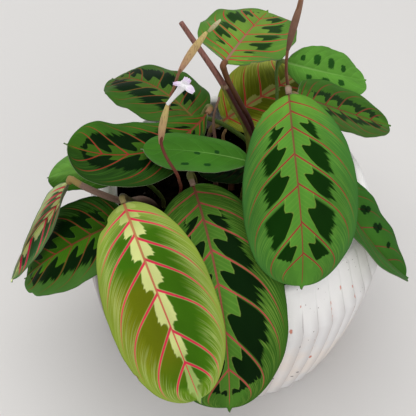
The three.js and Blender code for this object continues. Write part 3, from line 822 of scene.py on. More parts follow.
def blade_finish(name, lf, look):
    f = Finish(name)
    along, across = f.uv("blade")[:2]
    phase, gap = f.uv("veins")[:2]
    reach, side = f.uv("span")[:2]
    share = abs(across)
    cell = phase.fraction()
    seed = lf["length"] * 0.37 + lf["width"]

    def streaky(x, y, shift, *detail):
        return f.noise(f.vector(x, y, side * shift + seed), 1, *detail)

    strand = streaky(phase * 19, share * 1.7, 3, 3, 0.6)
    broad = streaky(phase * 1.3, share * 2.5, 5, 2)
    ragged = streaky(phase * 7, reach * 9, 7, 3, 0.6)
    grain = streaky(phase * 60, share * 12, 2, 2)
    teeth = streaky(phase * 8, share * 1.1, 9, 3, 0.65)

    colour = f.mix(look["field"], look["margin"], (share + (broad - 0.5) * 0.3).above(0.78, 0.4))
    # One half may take its own colour: painted shade on a half turned from the light, painted light
    # on a half turned to it.
    second, on_side, first_end, last_end = look["half"]
    if second:
        half = (side * on_side).above(0, 0.1)
        half = half * along.above(first_end, 0.12) * along.below(last_end, 0.2)
        colour = f.mix(colour, second, share.below(look["half_until"], 0.35) * half)
    glow = share.below(look["glow"], 0.5) * look["glow_strength"]

    narrow, wide = look["feather_reach"]
    feather_edge = f.ramp(cell, look["edge"]) * (wide - narrow) + narrow
    feather_edge = feather_edge * f.ramp(along, look["taper"]) + (ragged - 0.5) * 0.03
    feather = reach.below(feather_edge, FEATHER_SOFT)

    has_patch = phase.above(look["patch_from"], 0.05)
    grow = ((phase - look["patch_from"]) * PATCH_GROWTH + look["first_patch"]).at_most(1)
    grow = grow * along.below(look["patch_until"], 0.08)
    patch_edge = grow * look["patch_reach"] - cell * 0.08 + (teeth - 0.5) * look["patch_teeth"]
    cell_start, cell_end = look["patch_cells"]
    patch = share.below(patch_edge, look["patch_soft"]) * has_patch
    patch = patch * cell.above(cell_start, 0.06) * cell.below(cell_end, 0.06)
    patch = patch * share.above(0, 0.03) * (1 - feather)
    streak_band = share.above(0.42, 0.25) * share.below(0.9, 0.2)
    streak = strand.above(look["streak_edge"], 0.12) * streak_band * look["streaks"]
    inner = f.mix(look["patch"], look["field"], broad * 0.06)
    if look["half_patch"]:
        inner = f.mix(inner, look["half_patch"], half)

    fine_vein = abs((phase * 7).fraction() - 0.5).below(0.12, 0.2) * look["fine_veins"]
    feather_end = look["feather_end"] or look["feather"]
    plume = f.layers(look["feather"], (look["field"], (1 - broad) * 0.2),
                     (look["halo"], fine_vein), (feather_end, along.above(0.74, 0.12) * 0.8))
    if second:
        plume = f.mix(plume, second, half * look["half_feather"])
    near_patch = has_patch * along.below(look["halo_until"], 0.1)
    halo = reach.below(feather_edge + HALO_WIDTH, FEATHER_SOFT) - feather
    halo = halo.at_least(0) * near_patch * look["halo_strength"]
    colour = f.layers(colour, (look["feather"], glow), (look["streak"], streak), (inner, patch),
                      (plume, feather), (look["halo"], halo))
    if look["base"]:
        colour = f.mix(colour, look["base"], along.below(0.1, 0.12) * 0.8)

    vein_distance = (0.5 - abs(cell - 0.5)) * gap
    vein_half = (1 - share * 0.6) * (look["vein_width"] / 2)
    on_blade = phase.above(-0.3, 0.1) * phase.below(len(VEIN_STARTS) - 0.6, 0.1)
    fade = share.below(0.84, 0.2) * along.below(0.915, 0.06) * on_blade
    beside = vein_distance.below(vein_half + 0.3, 0.5) * fade * share.below(0.75, 0.5)
    vein = vein_distance.below(vein_half, 0.3) * fade
    vein_colour = f.mix(look["vein"], look["vein_end"] or look["vein"], share.above(0.6, 0.5))
    rib_half = (1.05 - along) * look["rib_width"] + 0.15
    rib = (reach * (lf["width"] / 2)).below(rib_half, 0.35) * along.below(0.95, 0.04)
    rib_colour = f.mix(look["rib"], look["vein"], along.above(0.5, 0.6))
    colour = f.layers(colour, (look["halo"], beside * look["vein_halo"]),
                      (vein_colour, vein * look["vein_strength"]), (rib_colour, rib * 0.9))
    for spot_along, spot_across, tall, wide in look["spots"]:
        half_there = float(half_width(lf, np.array(spot_along)))
        down = abs(along - spot_along) * (lf["length"] / tall)
        off = abs(across - spot_across) * (half_there / wide)
        squared = (down ** 3 + off ** 3) ** 0.33 + (strand - 0.5) * 0.9 + (ragged - 0.5) * 0.4
        colour = f.mix(colour, look["spot"], squared.below(1, 0.25) * 0.92)

    # Painted light and shade: a slow noise makes the blade lighter and darker in place of a soft
    # sheen.
    cloud = f.noise(f.vector(along * 3.1, across * 1.6, seed), 1, 2)
    painted_light_mottle = {"Hue": 0.5, "Saturation": 1.0, "Value": (cloud - 0.5) * LIGHT_AND_SHADE_MOTTLE + 1, "Fac": 1.0,
               "Color": colour}
    relief = strand * 0.35 + grain * 0.25 - vein * 0.6 - rib * 0.5
    return f.done(Base_Color=f.node("HueSaturation", {}, painted_light_mottle),
                  Roughness=strand * 0.1 + look["gloss"], Specular_IOR_Level=LEAF_SHEEN,
                  Normal=f.bump(relief, 0.0002, 0.7))


# %% [markdown]
# The underside is duller: grey-green with a wine flush that grows towards the margin, and the same
# veins in pink. It reads the same maps, which Solidify copies to the lower skin.

# %% Underside of a blade
UNDER_GREEN, WINE, UNDER_STREAK = (0.13, 0.22, 0.10), (0.20, 0.12, 0.10), (0.26, 0.32, 0.19)
UNDER_VEIN, UNDER_RIB = (0.42, 0.16, 0.15), (0.40, 0.22, 0.16)


def underside_finish():
    f = Finish("blade_underside")
    along, across = f.uv("blade")[:2]
    phase, gap = f.uv("veins")[:2]
    share = abs(across)
    not_tip = along.below(0.88, 0.06)
    strand = f.noise(f.vector(phase * 22, share * 2, 4.0), 1, 3, 0.6)
    vein = ((0.5 - abs(phase.fraction() - 0.5)) * gap).below(0.4, 0.35)
    vein = vein * share.below(0.88, 0.2) * not_tip
    rib = f.uv("span")[0].below(0.03, 0.02) * not_tip
    colour = f.layers(UNDER_GREEN, (WINE, share.above(0.8, 0.9) * 0.35),
                      (UNDER_STREAK, strand.above(0.6, 0.2) * 0.4), (UNDER_VEIN, vein * 0.7),
                      (UNDER_RIB, rib))
    return f.done(Base_Color=colour, Roughness=0.55, Specular_IOR_Level=LEAF_SHEEN,
                  Normal=f.bump(strand * 0.4 + vein, 0.0003, 0.7))


# %% [markdown]
# Each look lists the colours of its feather, field, margin, streaks, patches, halo, veins and
# midrib, then the feather's reach, where patches begin, how far they reach, how wide a vein is and
# how strong the streaks are. What else a leaf needs goes by name, and the rest is as USUAL says. A
# first patch at 9 means a leaf without patches.

# %% Palettes
SAID = ("feather", "field", "margin", "streak", "patch", "halo", "vein", "rib", "feather_reach",
        "patch_from", "patch_reach", "vein_width", "streaks")
USUAL = dict(
    edge=FANGED, taper=TAPERED, feather_end=None, half=(None, 1, 0, 1), half_until=2,
    half_patch=None, half_feather=0, glow=0.42, glow_strength=0.8, first_patch=0.72,
    patch_until=0.88, patch_teeth=0.5, patch_soft=0.05, patch_cells=(0.03, 0.95), streak_edge=0.54,
    fine_veins=0.15, halo_until=0.9, halo_strength=0.5, base=None, vein_halo=0.12, vein_end=None,
    vein_strength=0.95, rib_width=0.7, spots=(), gloss=0.45)


def palette(*values, **more):
    return {**USUAL, **dict(zip(SAID, values, strict=True)), **more}


DARK = (0.001, 0.011, 0.001)
LOOKS = {
    # One half of this leaf is painted light: a paler olive half, with paler patches.
    "front_left": palette(
        (0.72, 0.77, 0.29), (0.12, 0.24, 0.01), (0.27, 0.37, 0.05), (0.48, 0.55, 0.19),
        (0.045, 0.145, 0.004), (0.62, 0.66, 0.25), (0.72, 0.012, 0.075), (0.5, 0.18, 0.08),
        (0.035, 0.2), 0.5, 0.62, 1.4, 0.6, feather_end=(0.26, 0.42, 0.1),
        half=((0.24, 0.27, 0.014), -1, 0.34, 0.8), half_until=0.85,
        half_patch=(0.135, 0.165, 0.004), vein_end=(0.66, 0.1, 0.09), edge=LOBED,
        taper=WIDE_PLUME, first_patch=0.85, patch_soft=0.3, patch_teeth=0.4, gloss=0.42,
        glow=0.05, vein_halo=0.4, base=(0.3, 0.4, 0.07), patch_until=0.9, halo_strength=0.3,
        spots=((0.76, -1.0, 1.4, 1.4),), spot=(0.25, 0.15, 0.03)),
    "front_centre": palette(
        (0.075, 0.2, 0.022), (0.042, 0.13, 0.012), (0.038, 0.12, 0.012), (0.2, 0.34, 0.05), DARK,
        (0.3, 0.48, 0.08), (0.44, 0.062, 0.062), (0.24, 0.08, 0.05), (0.05, 0.26), 1.05, 0.63,
        1.15, 0.6, fine_veins=0.12, first_patch=0.6),
    "front_right": palette(
        (0.1, 0.29, 0.034), (0.064, 0.2, 0.026), (0.052, 0.175, 0.033), (0.17, 0.36, 0.05),
        (0.003, 0.026, 0.001), (0.34, 0.54, 0.08), (0.34, 0.034, 0.035), (0.22, 0.09, 0.045),
        (0.11, 0.56), 1.05, 0.585, 0.95, 0.45, edge=TOOTHED, patch_teeth=0.36,
        patch_cells=(0.1, 0.9), base=(0.14, 0.33, 0.035), first_patch=0.8, patch_until=0.82,
        rib_width=0.5, fine_veins=0.08, halo_until=0.82),
    "right_low": palette(
        (0.042, 0.142, 0.016), (0.038, 0.135, 0.016), (0.034, 0.128, 0.018), (0.05, 0.16, 0.025),
        DARK, (0.05, 0.16, 0.02), (0.19, 0.045, 0.028), (0.15, 0.06, 0.03), (0.3, 0.36), 9, 0.56,
        0.75, 0.3, edge=SPOTTED, spots=((0.37, 0.44, 3.2, 2.2), (0.395, 0.56, 2.4, 2),
        (0.55, 0.46, 3.4, 2.2), (0.575, 0.58, 2.4, 2), (0.72, 0.42, 1.8, 1.9)),
        spot=(0.001, 0.014, 0.002)),
    # One half of this leaf and its feather there are painted shade, nearly black.
    "left_low": palette(
        (0.05, 0.16, 0.005), (0.048, 0.135, 0.014), (0.07, 0.18, 0.034), (0.07, 0.19, 0.03),
        (0.001, 0.01, 0.001), (0.1, 0.24, 0.02), (0.24, 0.014, 0.02), (0.15, 0.06, 0.02),
        (0.1, 0.38), 0.9, 0.66, 0.7, 0.35, half=((0.008, 0.034, 0.001), -1, 0, 1.2),
        half_feather=0.6),
    # One half of this leaf is painted light, paler to lift the shade that falls on that side.
    "left_edge": palette(
        (0.85, 0.92, 0.45), (0.1, 0.25, 0.07), (0.1, 0.23, 0.075), (0.2, 0.32, 0.12),
        (0.045, 0.13, 0.045), (0.58, 0.7, 0.3), (0.9, 0.03, 0.14), (0.45, 0.14, 0.1), (0.08, 0.4),
        0.4, 0.75, 1.6, 0.4, half=((0.58, 0.7, 0.33), -1, 0, 1.2), half_patch=(0.11, 0.2, 0.085),
        edge=LOBED, first_patch=0.95, vein_strength=1, vein_halo=0.4),
    # One half of this leaf is painted shade.
    "left_small": palette(
        (0.125, 0.29, 0.045), (0.105, 0.255, 0.042), (0.1, 0.24, 0.05), (0.12, 0.3, 0.04),
        (0.04, 0.13, 0.012), (0.12, 0.3, 0.04), (0.1, 0.25, 0.045), (0.15, 0.34, 0.06),
        (0.14, 0.3), 9, 0.4, 0.6, 0.3, half=((0.024, 0.085, 0.005), 1, 0, 1.2), vein_strength=0.4,
        edge=SPOTTED, spots=((0.585, -0.17, 2.2, 1.0), (0.54, -0.1, 1.2, 0.8)),
        spot=(0.13, 0.07, 0.02)),
    # One half of this leaf is painted shade.
    "left": palette(
        (0.04, 0.11, 0.008), (0.033, 0.105, 0.009), (0.042, 0.13, 0.013), (0.06, 0.18, 0.018),
        (0.001, 0.01, 0.001), (0.08, 0.18, 0.02), (0.36, 0.012, 0.025), (0.22, 0.06, 0.03),
        (0.05, 0.3), 0.8, 0.6, 0.7, 0.35, half=((0.015, 0.05, 0.006), 1, 0, 1.2),
        glow_strength=0.35),
    "back_left": palette(
        (0.066, 0.14, 0.018), (0.04, 0.115, 0.013), (0.045, 0.125, 0.015), (0.07, 0.18, 0.025),
        (0.002, 0.014, 0.003), (0.15, 0.3, 0.04), (0.27, 0.012, 0.022), (0.2, 0.13, 0.035),
        (0.05, 0.27), 0.85, 0.64, 0.7, 0.35, spots=((0.95, -0.7, 2.6, 2.0),
        (0.8, -0.26, 1.0, 1.6)), spot=(0.2, 0.1, 0.03)),
    "centre_small": palette(
        (0.045, 0.155, 0.014), (0.043, 0.155, 0.015), (0.052, 0.155, 0.024), (0.06, 0.19, 0.02),
        DARK, (0.06, 0.2, 0.02), (0.065, 0.2, 0.025), (0.15, 0.3, 0.07), (0.3, 0.34), 9, 0.5, 0.5,
        0.3, vein_strength=0.5, rib_width=0.35, edge=SPOTTED, spots=((0.5, 0.1, 1.7, 1.5),
        (0.325, -0.12, 1.4, 1.2), (0.605, 0.71, 2.2, 1.1), (0.405, 0.66, 1.9, 1.1)),
        spot=(0.008, 0.05, 0.008)),
    "top": palette(
        (0.16, 0.3, 0.036), (0.09, 0.225, 0.028), (0.09, 0.215, 0.032), (0.15, 0.3, 0.04),
        (0.01, 0.042, 0.005), (0.22, 0.4, 0.06), (0.52, 0.01, 0.035), (0.36, 0.17, 0.13),
        (0.2, 0.4), 1.0, 0.66, 1.35, 0.45, patch_cells=(0.12, 0.8), first_patch=0.7),
    "back_centre": palette(
        (0.3, 0.32, 0.08), (0.22, 0.26, 0.012), (0.3, 0.34, 0.035), (0.46, 0.5, 0.07),
        (0.1, 0.12, 0.005), (0.4, 0.38, 0.12), (0.5, 0.03, 0.028), (0.42, 0.1, 0.06),
        (0.03, 0.12), 0.5, 0.5, 1.25, 0.75, edge=LOBED, patch_soft=0.5, patch_teeth=1.2,
        gloss=0.4, vein_halo=0.3, glow=0.0, streak_edge=0.5),
    "back_right": palette(
        (0.125, 0.335, 0.044), (0.105, 0.295, 0.037), (0.1, 0.27, 0.038), (0.14, 0.38, 0.05),
        DARK, (0.14, 0.38, 0.05), (0.16, 0.41, 0.06), (0.22, 0.44, 0.1), (0.2, 0.27), 9, 0.5, 0.7,
        0.25, vein_strength=0.45, edge=SPOTTED, spots=((0.15, 0.44, 1.7, 1.9),
        (0.31, 0.42, 2.7, 3.2), (0.49, 0.38, 2.9, 3.4), (0.655, 0.3, 2.2, 2.2),
        (0.24, -0.42, 2.0, 1.9), (0.42, -0.42, 3.0, 2.6), (0.6, -0.36, 2.4, 2.2)),
        spot=(0.008, 0.062, 0.008)),
    # One half of this leaf is painted light, a little paler than the rest.
    "right": palette(
        (0.075, 0.2, 0.022), (0.038, 0.115, 0.012), (0.052, 0.15, 0.02), (0.06, 0.15, 0.025),
        (0.012, 0.034, 0.009), (0.11, 0.25, 0.03), (0.23, 0.03, 0.028), (0.16, 0.07, 0.04),
        (0.08, 0.32), 0.9, 0.51, 0.9, 0.35, half=((0.055, 0.125, 0.022), -1, 0, 1.2), edge=LOBED),
    # The inner leaf's colours are painted shade: it lies in the shadow under the other leaves, so
    # all its greens are kept near black.
    "inner": palette(
        (0.004, 0.02, 0.002), (0.003, 0.015, 0.001), (0.003, 0.015, 0.001), (0.004, 0.02, 0.002),
        (0.001, 0.004, 0.001), (0.006, 0.022, 0.003), (0.02, 0.006, 0.004), (0.015, 0.02, 0.006),
        (0.1, 0.3), 1.5, 0.6, 0.6, 0.3),
}
SLOTS = {"front_left": "leaf_lime", "left_edge": "leaf_lime", "back_centre": "leaf_olive",
         "back_right": "leaf_plain", "centre_small": "leaf_plain", "left_small": "leaf_plain"}

# %% Grow every blade
underside = underside_finish()
for key, lf in LEAVES.items():
    upper = blade_finish("blade_" + key, lf, LOOKS[key])
    grow_blade(key, lf, SLOTS.get(key, "leaf_green"), (upper, underside))
print("blades:", len(LEAVES), "with", ROWS * COLUMNS, "faces each before thickness")

# %% [markdown]
# ## Petioles and stems
# A petiole is a slim round stalk that ends in a short swollen joint just before the blade. Its
# path is the smooth curve through the places in the table. A circle is extruded along that path
# one ring at a time, each ring turned and scaled from the one before.

# %% Smooth path through places
ROOT_DEPTH = 14
SEAT_GAP = 0.35
KNUCKLE_LENGTH = 9
KNUCKLE_RADIUS = 1.9
CURVE_STEPS = 40


def smooth_path(places, count):
    """Points at even distances on the centripetal curve through the places, and its length."""
    knots = [Vector(p) for p in places]
    knots = [2 * knots[0] - knots[1]] + knots + [2 * knots[-1] - knots[-2]]
    fine = []
    for a, b, c, d in zip(knots, knots[1:], knots[2:], knots[3:]):
        gaps = [max((q - p).length ** 0.5, 1e-4) for p, q in ((a, b), (b, c), (c, d))]
        start = ((b - a) / gaps[0] - (c - a) / (gaps[0] + gaps[1]) + (c - b) / gaps[1]) * gaps[1]
        end = ((c - b) / gaps[1] - (d - b) / (gaps[1] + gaps[2]) + (d - c) / gaps[2]) * gaps[1]
        for step in range(CURVE_STEPS):
            t = step / CURVE_STEPS
            fine.append(b + start * t + (3 * (c - b) - 2 * start - end) * t ** 2
                        + (2 * (b - c) + start + end) * t ** 3)
    fine = np.array([tuple(p) for p in fine] + [tuple(knots[-2])])
    walked = np.concatenate([[0], np.cumsum(np.linalg.norm(np.diff(fine, axis=0), axis=1))])
    even = np.linspace(0, walked[-1], count)
    points = np.stack([np.interp(even, walked, fine[:, i]) for i in range(3)], 1)
    return [Vector(p) for p in points], walked[-1]


# %% Extrude a ring along a path
def ring_frame(path, i, turned):
    ahead = (path[min(i + 1, len(path) - 1)] - path[max(i - 1, 0)]).normalized()
    side = (turned - ahead * turned.dot(ahead)).normalized()
    return Matrix((side, ahead.cross(side), ahead)).transposed(), side


def sweep(path, radius_at, sides=16, flatten=1.0):
    """A closed round stalk in metres. Each point keeps how far along it is as 'grown', and its
    distance to the end in millimetres as 'to_end'."""
    bm = bmesh.new()
    grown = bm.verts.layers.float.new("grown")
    to_end = bm.verts.layers.float.new("to_end")
    length = sum((b - a).length for a, b in zip(path, path[1:]))
    corners = bmesh.ops.create_circle(bm, cap_ends=True, segments=sides, radius=1)["verts"]
    edges = bm.edges[:]
    turned = Vector((1, 0.2, 0.1))
    before = Matrix.Identity(4)
    for i, place in enumerate(path):
        t = i / (len(path) - 1)
        if i:
            corners, edges = extrude_ring(bm, edges)
        turn, turned = ring_frame(path, i, turned)
        size = radius_at(t) * MM
        shape = Matrix.Diagonal((size, size * flatten, size, 1))
        after = Matrix.Translation(place * MM) @ turn.to_4x4() @ shape
        bmesh.ops.transform(bm, matrix=after @ before.inverted(), verts=corners)
        before = after
        for v in corners:
            v[grown] = t
            v[to_end] = (1 - t) * length
    bmesh.ops.contextual_create(bm, geom=edges)
    bmesh.ops.recalc_face_normals(bm, faces=bm.faces)
    return bm


# %% [markdown]
# Stalks differ in colour along their length: maroon or olive low down, greener or redder above,
# and paler on the swollen joint. Some are nearly black at the foot, which is painted shade for the
# dark inside the pot. The finish mixes three colours by how far along a point is, with fine fibres
# that run up the stalk.

# %% Stalk finish
JOINT_SHOWS = 3.6
LONG_JOINT_SHOWS = 11
STALK_SHEEN = 0.2
DARK_FIBRE = (0.05, 0.03, 0.02)


def stalk_finish(name, foot, middle, tip, joint=None, speckle=0.35, shows=JOINT_SHOWS):
    f = Finish(name)
    place = f.place()
    fibre = f.noise(f.scaled(place, (1, 1, 0.08)), 1500, 2)
    grown = f.attribute("grown") + (f.noise(place, 110, 3) - 0.5) * 0.3
    colour = f.layers(foot, (middle, grown.above(0.35, 0.3)), (tip, grown.above(0.75, 0.25)),
                      (DARK_FIBRE, fibre.above(0.6, 0.15) * speckle))
    if joint:
        colour = f.mix(colour, joint, f.attribute("to_end").below(shows, 1.5) * 0.9)
    return f.done(Base_Color=colour, Roughness=0.45 + fibre * 0.15,
                  Specular_IOR_Level=STALK_SHEEN, Normal=f.bump(fibre, 0.0001, 0.6))


GREEN = (0.10, 0.18, 0.03)
OLIVE = (0.17, 0.17, 0.045)
MAROON = (0.055, 0.012, 0.009)
RED_BROWN = (0.14, 0.032, 0.02)
PINK_GREY = (0.25, 0.155, 0.115)
# SHADOW is painted shade, for the foot of a stalk deep inside the pot.
SHADOW = (0.012, 0.006, 0.004)
PALE_BEAD = (0.34, 0.22, 0.17)
DARK_GREEN = (0.03, 0.05, 0.01)
OLD_TAN = (0.17, 0.07, 0.03)
STALKS = {
    "green": stalk_finish("petiole_green", OLIVE, GREEN, GREEN, (0.20, 0.24, 0.07)),
    "bead": stalk_finish("petiole_beaded", MAROON, OLIVE, OLIVE, PALE_BEAD),
    "red": stalk_finish("petiole_red", MAROON, RED_BROWN, OLIVE, (0.30, 0.16, 0.08)),
    "pink": stalk_finish("petiole_pink", SHADOW, PINK_GREY, PINK_GREY, (0.34, 0.24, 0.07),
                         0.2, LONG_JOINT_SHOWS),
    "maroon": stalk_finish("petiole_maroon", MAROON, MAROON, OLD_TAN, OLD_TAN),
    "dark": stalk_finish("petiole_dark", DARK_GREEN, DARK_GREEN, (0.09, 0.07, 0.03),
                         (0.30, 0.24, 0.09)),
}
WEARS = {"front_right": "bead", "front_centre": "bead", "left_edge": "pink", "top": "maroon",
         "left_low": "red", "front_left": "dark", "right": "red", "left": "red",
         "back_centre": "pink"}


# %% Grow every petiole
PETIOLE_RINGS = 72
CLEAR_OF_SOIL = 8
JOINT_STEM = 4
SWELL_REACH = 1.3


def from_soil(root, places):
    return [(*root, SOIL_TOP - ROOT_DEPTH), (*root, SOIL_TOP + CLEAR_OF_SOIL), *places]


def petiole_mesh(key, lf):
    ahead = Vector(blade_frame(lf, np.array(0.0))[0])
    base = Vector(lf["base"])

    def before(distance):
        return tuple(base - ahead * distance)

    knee = lf["knee"] or before(KNUCKLE_LENGTH)
    places = from_soil(lf["root"], [*lf["via"], knee, before(JOINT_STEM), before(SEAT_GAP)])
    path, length = smooth_path(places, PETIOLE_RINGS)
    start = 1 - SWELL_REACH * KNUCKLE_LENGTH / length

    def radius_at(t):
        s = max((t - start) / (1 - start), 0)
        return lf["stem"] + (KNUCKLE_RADIUS - lf["stem"]) * math.sin(math.pi * min(s, 0.75)) ** 2

    return as_mesh("petiole_" + key, sweep(path, radius_at))


for key, lf in LEAVES.items():
    finish = STALKS[WEARS.get(key, "green")]
    seat("stalk_" + key, petiole_mesh(key, lf), [finish], "petiole", "petiole_" + key)
print("petioles:", len(LEAVES))

# %% [markdown]
# ## Cane, sheaths and flower stalks
# Among the petioles stand an old cut cane, three withered or rolled sheaths and two flower stalks.
# They are swept like the petioles, and each tapers from one radius to another.

# %% Old cane finish
CANE_NODE = 188
CANE_LEAN = -0.5
CANE_ANCHOR = (0.8, 154)
CANE_OLIVE, CANE_MAROON = (0.19, 0.21, 0.035), (0.055, 0.012, 0.010)
CANE_ROSE, CANE_BROWN = (0.27, 0.12, 0.095), (0.15, 0.06, 0.045)
NODE_TAN, CANE_FIBRE = (0.34, 0.24, 0.14), (0.04, 0.02, 0.015)


def cane_finish():
    """Green and maroon below the node, one on each side, and dull red-brown above it."""
    f = Finish("old_cane")
    place = f.place()
    x, _, z = f.parts(place)
    height = z / MM
    middle = (height - CANE_ANCHOR[1]) * CANE_LEAN + CANE_ANCHOR[0]
    right = (x / MM - middle).above(0.2, 1.2)
    fibre = f.noise(f.scaled(place, (1, 1, 0.06)), 1500, 2)
    old = f.mix(CANE_ROSE, CANE_BROWN, right)
    ring = abs(height - CANE_NODE).below(1.2, 1)
    colour = f.layers(CANE_OLIVE, (CANE_MAROON, right), (old, height.above(CANE_NODE, 5)),
                      (NODE_TAN, ring * 0.6), (CANE_FIBRE, fibre.above(0.58, 0.12) * 0.4))
    return f.done(Base_Color=colour, Roughness=0.5 + fibre * 0.15,
                  Specular_IOR_Level=STALK_SHEEN, Normal=f.bump(fibre, 0.0001, 0.6))


# %% Stems
STEM_RINGS = 90
CANE = cane_finish()
FLOWER_STALK = stalk_finish("flower_stalk", MAROON, RED_BROWN, (0.26, 0.12, 0.06), None, 0.3)
WITHERED = stalk_finish("withered_sheath", (0.20, 0.08, 0.05), (0.36, 0.17, 0.07),
                        (0.42, 0.25, 0.11))
ROLLED = stalk_finish("rolled_leaf", (0.12, 0.06, 0.04), (0.26, 0.12, 0.09), (0.34, 0.20, 0.14))
PINK_SHEATH = stalk_finish("pink_sheath", (0.28, 0.10, 0.08), (0.40, 0.20, 0.15),
                           (0.34, 0.24, 0.14))
STEMS = {
    "cut_cane": (CANE, "cane", (3.3, 1.4), (5, 14),
                 [(5, 14, 130), (0.5, 14, 154), (-9, 14, 173), (-17.5, 14, 190), (-43, 18, 227)]),
    "flower_stalk": (FLOWER_STALK, "red_stalk", (1.1, 0.7), (-38, -8),
                     [(-34, -27, 142), (-34.8, -38, 162), (-36.3, -48.5, 181), (-42.5, -46.5, 191),
                      (-45.5, -42.5, 196), (-45, -41, 206), (-43, -39, 221), (-39, -37, 243),
                      (-36, -35, 251), (-32, -34, 258), (-28.5, -33, 264)]),
    "flower_scape": (FLOWER_STALK, "red_stalk", (1.1, 0.8), (27, 14),
                     [(26, 14, 130), (21, 14, 185), (17, 14, 205), (16, 15, 217), (18, 18, 253)]),
    "rolled_leaf": (ROLLED, "cane", (2.0, 0.6), (-14, 18),
                    [(-15, 17, 120), (-20, 15, 160), (-18, 15, 177)]),
    "dry_sheath": (WITHERED, "dry_sheath", (2.4, 0.9), (-4, 28),
                   [(-7, 27, 112), (-13, 26, 132), (-12, 25, 140)]),
    "pink_sheath": (PINK_SHEATH, "cane", (2.2, 0.8), (14, 10),
                    [(11, 15, 125), (6, 14, 146), (8, 15, 156)]),
}

for key, (finish, slot, (foot, end), root, places) in STEMS.items():
    path = smooth_path(from_soil(root, places), STEM_RINGS)[0]
    stem = sweep(path, lambda t: foot + (end - foot) * t)
    seat("stem_" + key, as_mesh("stem_" + key, stem), [finish], slot, key)
print("stems:", len(STEMS))

# %% [markdown]
# ## Bracts, flower and bud
# Papery bracts wrap the flower stalk, long pointed scales with fine ribs. The flower is a white
# tube with lilac petals. The bracts are swept spindles that hug the stalk, the petals small
# grids bent by a formula.

# %% Bracts
BRACT_SIDES, BRACT_RINGS, BRACT_FLATNESS = 20, 40, 0.8
BRACTS = {
    "bract_low": ([(-46, -41, 194), (-45.5, -41, 207), (-43.5, -41, 224)], 1.6, "bract"),
    "bract_high": ([(-39, -36.6, 243), (-33.2, -34.2, 256), (-27.5, -32.4, 267)], 1.6, "bract"),
    "bract_scape": ([(16, 15, 219), (17, 16.5, 234), (19, 18.5, 252)], 1.7, "red_stalk"),
}


# %% Bract finish
def bract_finish(name, low, high):
    f = Finish(name)
    place = f.place()
    grown = f.attribute("grown") + (f.noise(place, 260, 2) - 0.5) * 0.5
    rib = f.noise(f.scaled(place, (1, 1, 0.06)), 2200, 2)
    colour = f.layers(low, (high, grown.above(0.5, 0.7)),
                      ((0.14, 0.07, 0.03), rib.above(0.58, 0.12) * 0.5))
    return f.done(Base_Color=colour, Roughness=0.7, Normal=f.bump(rib, 0.00015, 0.8))


DRY_BRACT = bract_finish("dry_bract", (0.50, 0.27, 0.16), (0.62, 0.47, 0.17))
BROWN_BRACT = bract_finish("brown_bract", (0.16, 0.07, 0.045), (0.26, 0.13, 0.08))
for key, (places, widest, slot) in BRACTS.items():
    path = smooth_path(places, BRACT_RINGS)[0]

    def radius_at(t):
        return 0.4 + widest * math.sin(math.pi * (0.08 + 0.86 * t)) ** 0.8

    scale = as_mesh("scale_" + key, sweep(path, radius_at, BRACT_SIDES, BRACT_FLATNESS))
    finish = DRY_BRACT if slot == "bract" else BROWN_BRACT
    seat("scale_" + key, scale, [finish], slot, key)
print("bracts:", len(BRACTS))

# %% Flower
THROAT = Vector((-35.6, -43, 241.5))
FLOWER_FOOT = Vector((-43.4, -41.4, 224.8))
TUBE_SIDES, TUBE_RINGS = 20, 30
PETAL_ROWS, PETAL_COLUMNS = 16, 10
PETAL_TILT = Vector((0.3, -0.6, 0.8))
PETAL_MARK = 2
PETAL_WHITE, LILAC = (0.92, 0.90, 0.92), (0.66, 0.44, 0.78)
PETALS = [((-5.5, -1.5, 1), 2.5), ((0.5, 1.2, 3.6), 3.2), ((2.6, 1, 2.6), 2.8), ((5, -3, -2), 4)]


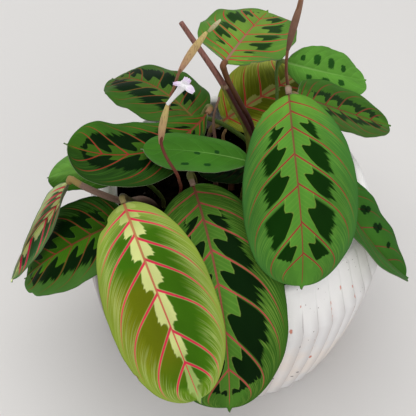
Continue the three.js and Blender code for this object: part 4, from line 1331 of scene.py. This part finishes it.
# %% Petals
def add_petal(bm, towards, width):
    """Adds one petal. Its 'grown' starts at PETAL_MARK, above any value of the tube."""
    grown = bm.verts.layers.float["grown"]
    reach = Vector(towards)
    side = reach.cross(PETAL_TILT).normalized()
    face = side.cross(reach).normalized()
    made = bmesh.ops.create_grid(bm, x_segments=PETAL_ROWS, y_segments=PETAL_COLUMNS, size=1)
    for v in made["verts"]:
        u, w = (v.co.x + 1) / 2, v.co.y
        half = width / 2 * (0.3 + 0.7 * math.sin(math.pi * (0.1 + 0.82 * u)))
        cup = math.sin(math.pi * u) * 0.8 - 0.6 * w * w + 0.15 * math.sin(9 * w + 5 * u)
        v.co = (THROAT + reach * u + side * (w * half) + face * cup) * MM
        v[grown] = PETAL_MARK + u


def petal_finish():
    f = Finish("lilac_petal")
    place = f.place()
    lilac = f.attribute("grown").above(PETAL_MARK + 0.55, 0.6)
    lilac = lilac * f.noise(place, 240, 2).above(0.4, 0.3)
    return f.done(Base_Color=f.mix(PETAL_WHITE, LILAC, lilac * 0.75), Roughness=0.5,
                  Normal=f.bump(f.noise(place, 1200, 2), 0.0001, 0.4))


def straight_sweep(foot, tip, rings, radius_at, sides):
    path = smooth_path([foot, foot.lerp(tip, 0.5), tip], rings)[0]
    return sweep(path, radius_at, sides)


tube = straight_sweep(FLOWER_FOOT, THROAT, TUBE_RINGS, lambda t: 1 + 1.4 * t * t, TUBE_SIDES)
for towards, width in PETALS:
    add_petal(tube, towards, width)
seat("flower_bloom", as_mesh("flower", tube), [petal_finish()], "petal", "flower")
print("petals:", len(PETALS))

# %% Bud
BUD_FOOT = Vector((-26.6, -31.9, 267.2))
BUD_TIP = Vector((-21.5, -31, 274.5))
BUD_SIDES, BUD_RINGS = 16, 20


def bud_radius(t):
    return 0.3 + 0.8 * math.sin(math.pi * (0.15 + 0.8 * t))


bud = as_mesh("bud", straight_sweep(BUD_FOOT, BUD_TIP, BUD_RINGS, bud_radius, BUD_SIDES))
pale_bud = bract_finish("pale_bud", (0.42, 0.36, 0.16), (0.62, 0.56, 0.34))
seat("flower_bud_tip", bud, [pale_bud], "petal", "flower_bud")
print("bud faces:", len(bud.polygons))
